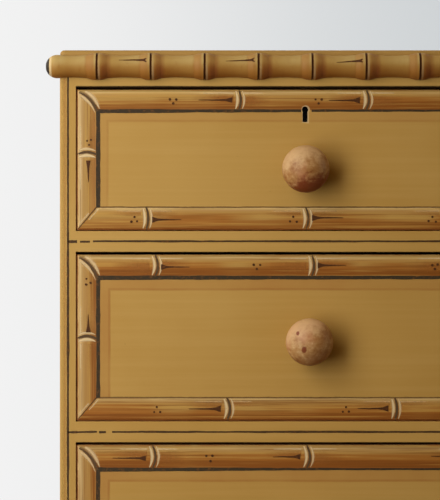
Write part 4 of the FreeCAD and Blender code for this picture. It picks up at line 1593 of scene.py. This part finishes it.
    def _thorns(self, workshop: Workshop) -> None:
        """Paints a thorn on every other stretch of the front moulding, above its middle.

        Args:
            workshop: The shared brushes and finishes.
        """
        hand = random.Random(self.seed + 1)
        low, high, pitch = self._moulding()
        steps, widths = (0.0, 0.1, 0.24, 0.45, 0.75, 1.0), (2.6, 2.4, 1.9, 1.3, 1.0, 0.5)
        strokes = []
        for ring in range(1, self.ring_count, 2):
            base = low.x + self.end_length + ring * pitch - hand.uniform(4.5, 6.0)
            length, level = hand.uniform(22, 29), (low.z + high.z) / 2 + hand.uniform(4.6, 6.0)
            fall = hand.uniform(-0.6, 1.8)
            path = tuple((base - length * t, level - fall * t) for t in steps)
            strokes.append(Stroke(path, widths, Tone.THORN))
            for rise in (hand.uniform(1.6, 2.4), hand.uniform(-2.2, -1.4)):
                prong = ((base - 3.0, level), (base - 0.8, level + rise * 0.5), (base + 1.0, level + rise))
                strokes.append(Stroke(prong, (1.8, 1.6, 0.9), Tone.THORN, lift=Layer.PRONG))
        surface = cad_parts["front_moulding"]
        sheet = PaintedSheet("moulding_thorns", "carcass", low.y, surface, strokes)
        sheet.lay(workshop, self.seed + 1)

    def _nails(self, workshop: Workshop) -> None:
        """Nails the back boards to the case.

        Args:
            workshop: The shared brushes and finishes.
        """
        low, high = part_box("back_boards")
        width, depth = (high.x - low.x) / self.back_count, high.y + workshop.head_standoff
        rails = ("bottom_rail", "drawer_rail_3", "drawer_rail_2", "drawer_rail_1")
        heights = [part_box(rail)[0].z + self.nail_rise for rail in rails] + [high.z - self.nail_drop]
        pair = (self.nail_inset, width - self.nail_inset)
        columns = [low.x + width * n + aside for n in range(self.back_count) for aside in pair]
        points = [(x, depth, z) for x in columns for z in heights]
        sizes = {"Radius": self.nail_radius, "Depth": self.nail_depth}
        sizes.update({"Seed": self.seed, "Paint": rusted_iron()})
        piece = workshop.fasten("back_nails", points, sizes)
        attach(piece, "carcass")


def rusted_iron() -> bpy.types.Material:
    """Old nail heads, dark with rust.

    Returns:
        The material.
    """
    box = Paintbox("rusted_iron")
    rust = box.noise((500, 500, 500), 3, 0.6)
    colour = box.mix(rust.rise(0.35, 0.65), linear(58, 46, 40), linear(112, 66, 40))
    gloss = {"Roughness": rust * 0.3 + 0.5, "Metallic": 0.4}
    return box.finish(Base_Color=colour, Normal=box.bump(rust, 0.1), **gloss)


@dataclass
class Fittings:
    """The knobs, and the locks with their bolts and screws."""

    screw_radius: float = 0.0021
    screw_depth: float = 0.0008
    screw_inset: float = 0.005
    screw_seed: int = 3
    wear_and_shade: dict[str, KnobWearAndShade] = field(
        default_factory=lambda: {
            "short_left_knob": KnobWearAndShade(0.85),
            "long_upper_left_knob": KnobWearAndShade(0.25, ((-12.2, 9.2, 2.1), (-6.0, -6.6, 3.2))),
        }
    )

    def dress(self, workshop: Workshop) -> None:
        """Finishes every knob and lock.

        Args:
            workshop: The shared brushes and finishes.
        """
        knobs = [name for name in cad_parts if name.endswith("knob")]
        for number, name in enumerate(sorted(knobs)):
            low, high = (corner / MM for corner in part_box(name))
            centre = ((low.x + high.x) / 2, (low.z + high.z) / 2)
            wood = KnobWood(f"{name}_wood", centre, 2.0 + 1.9 * number, self.wear_and_shade.get(name, KnobWearAndShade()))
            workshop.dress(name, wood.material())
        for drawer in ("short_left", "short_right"):
            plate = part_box(f"{drawer}_lock_case")[1].y / MM
            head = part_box(f"{drawer}_lock_bolt")[1].z / MM
            case = AgedBrass(f"{drawer}_lock_brass", plate)
            workshop.dress(f"{drawer}_lock_case", case.material())
            bolt = AgedBrass(f"{drawer}_bolt_brass", plate, head)
            workshop.dress(f"{drawer}_lock_bolt", bolt.material())
            self._screws(workshop, drawer)

    def _screws(self, workshop: Workshop, drawer: str) -> None:
        """Puts a screw in each corner of a lock's back plate.

        Args:
            workshop: The shared brushes and finishes.
            drawer: The drawer that holds the lock.
        """
        low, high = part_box(f"{drawer}_lock_case")
        across = (low.x + self.screw_inset, high.x - self.screw_inset)
        up = (low.z + self.screw_inset, high.z - self.screw_inset)
        points = [(x, high.y + workshop.head_standoff, z) for x in across for z in up]
        sizes = {"Radius": self.screw_radius, "Depth": self.screw_depth}
        sizes.update({"Seed": self.screw_seed, "Paint": workshop.brass})
        piece = workshop.fasten(f"{drawer}_lock_screws", points, sizes)
        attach(piece, f"{drawer}_drawer")


@dataclass(frozen=True)
class Lamp:
    """One soft lamp: where it stands and aims, its width and height, its watts, its tint and its beam."""

    name: str
    place: tuple[float, float, float]
    aim: tuple[float, float, float]
    size: Point
    power: float
    tint: tuple[float, float, float] = (1.0, 1.0, 1.0)
    spread: float = 180.0

    def hang(self) -> None:
        """Adds the lamp to the scene."""
        data = bpy.data.lights.new(self.name, "AREA")
        data.spread = math.radians(self.spread)
        data.shape = "RECTANGLE"
        data.size, data.size_y = self.size
        data.energy = self.power
        data.color = self.tint
        lamp = bpy.data.objects.new(self.name, data)
        lamp.location = self.place
        lamp.visible_camera = False
        way = Vector(self.aim) - Vector(self.place)
        lamp.rotation_euler = way.to_track_quat("-Z", "Y").to_euler()
        bpy.context.scene.collection.objects.link(lamp)


@dataclass
class Studio:
    """The camera at the photograph's angle, the soft light, the pale floor and the pale surround."""

    centre: Point = (-0.3338, 0.7714)
    distance: float = 2.2
    sensor: float = 36.0
    view_end: float = 60.0
    floor_radius: float = 2.6
    floor_drop: float = 0.0005
    rim_points: int = 96
    glow: float = 0.66
    lamps: tuple[Lamp, ...] = (
        Lamp("key_light", (-0.95, -0.98, 0.94), (-0.36, -0.22, 0.60), (0.5, 1.4), 12.3, (0.95, 1.03, 1.20)),
        Lamp("front_light", (0.56, -1.7, 0.8), (0.5, -0.2, 0.5), (0.3, 0.8), 0.25, spread=38.0),
        Lamp("left_light", (-2.8, 0.6, 1.7), (-0.5, 0.1, 0.5), (1.6, 1.6), 26.0),
        Lamp("right_light", (2.8, 0.3, 1.7), (0.5, 0.1, 0.5), (1.6, 1.6), 40.0),
        Lamp("back_light", (0.4, 3.2, 1.8), (0.0, 0.2, 0.5), (1.8, 1.8), 46.0),
    )

    def set_up(self) -> None:
        """Builds the whole stage."""
        self._camera(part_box("short_left_front")[0].y)
        for lamp in self.lamps:
            lamp.hang()
        self._world()
        self._floor()
        bpy.context.scene.view_settings.view_transform = "Standard"

    def _camera(self, face: float) -> None:
        """Puts the camera level and square to the drawer fronts, one pixel to the millimetre.

        Args:
            face: The plane of the drawer fronts.
        """
        data = bpy.data.cameras.new("photo_camera")
        data.sensor_fit = "VERTICAL"
        data.sensor_height = self.sensor
        data.lens = self.sensor * self.distance / (PHOTO_SIZE[1] * MM)
        data.clip_end = self.view_end
        camera = bpy.data.objects.new("photo_camera", data)
        camera.location = (self.centre[0], face - self.distance, self.centre[1])
        camera.rotation_euler = (math.pi / 2, 0, 0)
        bpy.context.scene.collection.objects.link(camera)
        bpy.context.scene.camera = camera

    @staticmethod
    def _seen(graph: Graph) -> Sock:
        """One for the rays that show the surround itself, in view or in a gloss."""
        path = graph.node("ShaderNodeLightPath", output="Is Camera Ray")
        return path.most(path.beside("Is Glossy Ray")).most(path.beside("Is Transmission Ray"))

    def _world(self) -> None:
        """Lights the scene mostly from above and to the left, and shows a pale grey surround, a little darker
        to the right.
        """
        world = bpy.data.worlds.new("studio")
        bpy.context.scene.world = world
        world.use_nodes = True
        world.node_tree.nodes.clear()
        graph = Graph(world.node_tree)
        way = graph.node("ShaderNodeTexCoord", output="Generated")
        aside = graph.node("ShaderNodeSeparateXYZ", inputs={0: way})
        grey = graph.mix(aside.rise(-0.11, 0.13), linear(242, 242, 242), linear(206, 210, 212))
        shown = graph.node("ShaderNodeBackground", inputs={"Color": grey, "Strength": 1.0})
        bright = aside.beside("Z").rise(-0.35, 0.85) * (aside.rise(0.8, -0.8) * 0.75 + 0.25)
        glow = graph.mix(bright, linear(26, 18, 10), linear(225, 185, 110))
        light = graph.node("ShaderNodeBackground", inputs={"Color": glow, "Strength": self.glow})
        both = graph.node("ShaderNodeMixShader", inputs={0: self._seen(graph), 1: light, 2: shown})
        graph.node("ShaderNodeOutputWorld", inputs={"Surface": both})

    def _floor(self) -> None:
        """Lays a round pale floor that fades out at its rim."""
        turns = [2 * math.pi * n / self.rim_points for n in range(self.rim_points)]
        radius = self.floor_radius
        rim = [(math.cos(a) * radius, math.sin(a) * radius, -self.floor_drop) for a in turns]
        mesh = bpy.data.meshes.new("floor")
        mesh.from_pydata(rim, [], [range(len(rim))])
        box = Paintbox("pale_floor")
        x, y, _ = box.millimetres()
        away = (x * x + y * y).root() / (radius / MM)
        grain = box.noise((30, 30, 30), 3)
        colour = box.mix(grain * 0.3, linear(228, 228, 227), linear(216, 216, 214))
        colour = box.mix(self._seen(box), linear(70, 58, 46), colour)
        solid = box.node("ShaderNodeBsdfPrincipled", inputs={"Base Color": colour, "Roughness": 0.7})
        clear = box.node("ShaderNodeBsdfTransparent")
        both = box.node("ShaderNodeMixShader", inputs={0: away.rise(0.45, 0.98), 1: solid, 2: clear})
        box.node("ShaderNodeOutputMaterial", inputs={"Surface": both})
        mesh.materials.append(box.material)
        floor = bpy.data.objects.new("floor", mesh)
        bpy.context.scene.collection.objects.link(floor)


def drawer_fronts() -> list[DrawerFront]:
    """The five fronts, with the cane that is seen on the left and its rule carried on elsewhere.

    Returns:
        The fronts, from the top row down.
    """
    plain = Cane((), (), 1)
    return [
        DrawerFront(
            "short_left",
            {
                Side.TOP: Cane((161.1, 288.6), (95.3, 240.6), -1),
                Side.LEFT: Cane((64.8,), (52.8,), 1),
                Side.BOTTOM: Cane((68.5, 228.3, 367.0), (56.6, 215.6, 354.6), 1),
                Side.RIGHT: Cane((78.0,), (46.0,), -1),
            },
            keyhole_drop=20.0,
            seed=3,
        ),
        DrawerFront(
            "short_right",
            {
                Side.TOP: Cane((), (), -1),
                Side.LEFT: Cane((72.0,), (40.0,), 1),
                Side.BOTTOM: plain,
                Side.RIGHT: Cane((66.0,), (54.0,), 1),
            },
            keyhole_drop=20.0,
            seed=4,
        ),
        DrawerFront(
            "long_upper",
            {
                Side.TOP: Cane((77.4, 234.0, 369.6), (179.6, 357.6), 1),
                Side.LEFT: Cane((84.0,), (27.3,), -1),
                Side.BOTTOM: Cane((149.5, 317.2), (79.3, 268.5), -1),
                Side.RIGHT: Cane((76.0,), (112.0,), 1),
            },
            StripWidths(top=22.0),
            richness=0.06,
            penumbra=13.4,
            dusk=0.85,
            taper=0.78,
            seed=5,
        ),
        DrawerFront(
            "long_middle",
            {
                Side.TOP: Cane((74.8, 228.9), (132.2,), -1),
                Side.LEFT: Cane((104.0,), (76.0,), 1),
                Side.BOTTOM: plain,
                Side.RIGHT: Cane((92.0,), (60.0,), -1),
            },
            StripWidths(top=23.4),
            richness=0.17,
            penumbra=13.0,
            dusk=0.85,
            seed=6,
        ),
        DrawerFront(
            "long_lower",
            {
                Side.TOP: plain,
                Side.LEFT: Cane((116.0,), (70.0,), -1),
                Side.BOTTOM: Cane((), (), -1),
                Side.RIGHT: Cane((108.0,), (148.0,), 1),
            },
            richness=0.08,
            seed=7,
        ),
    ]


def main() -> None:
    """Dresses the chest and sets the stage."""
    logging.basicConfig(level=logging.INFO, format="%(message)s")
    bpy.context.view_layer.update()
    workshop = Workshop()
    Case().dress(workshop)
    for front in drawer_fronts():
        front.dress(workshop)
    Fittings().dress(workshop)
    Studio().set_up()


if __name__ == "__main__":
    main()
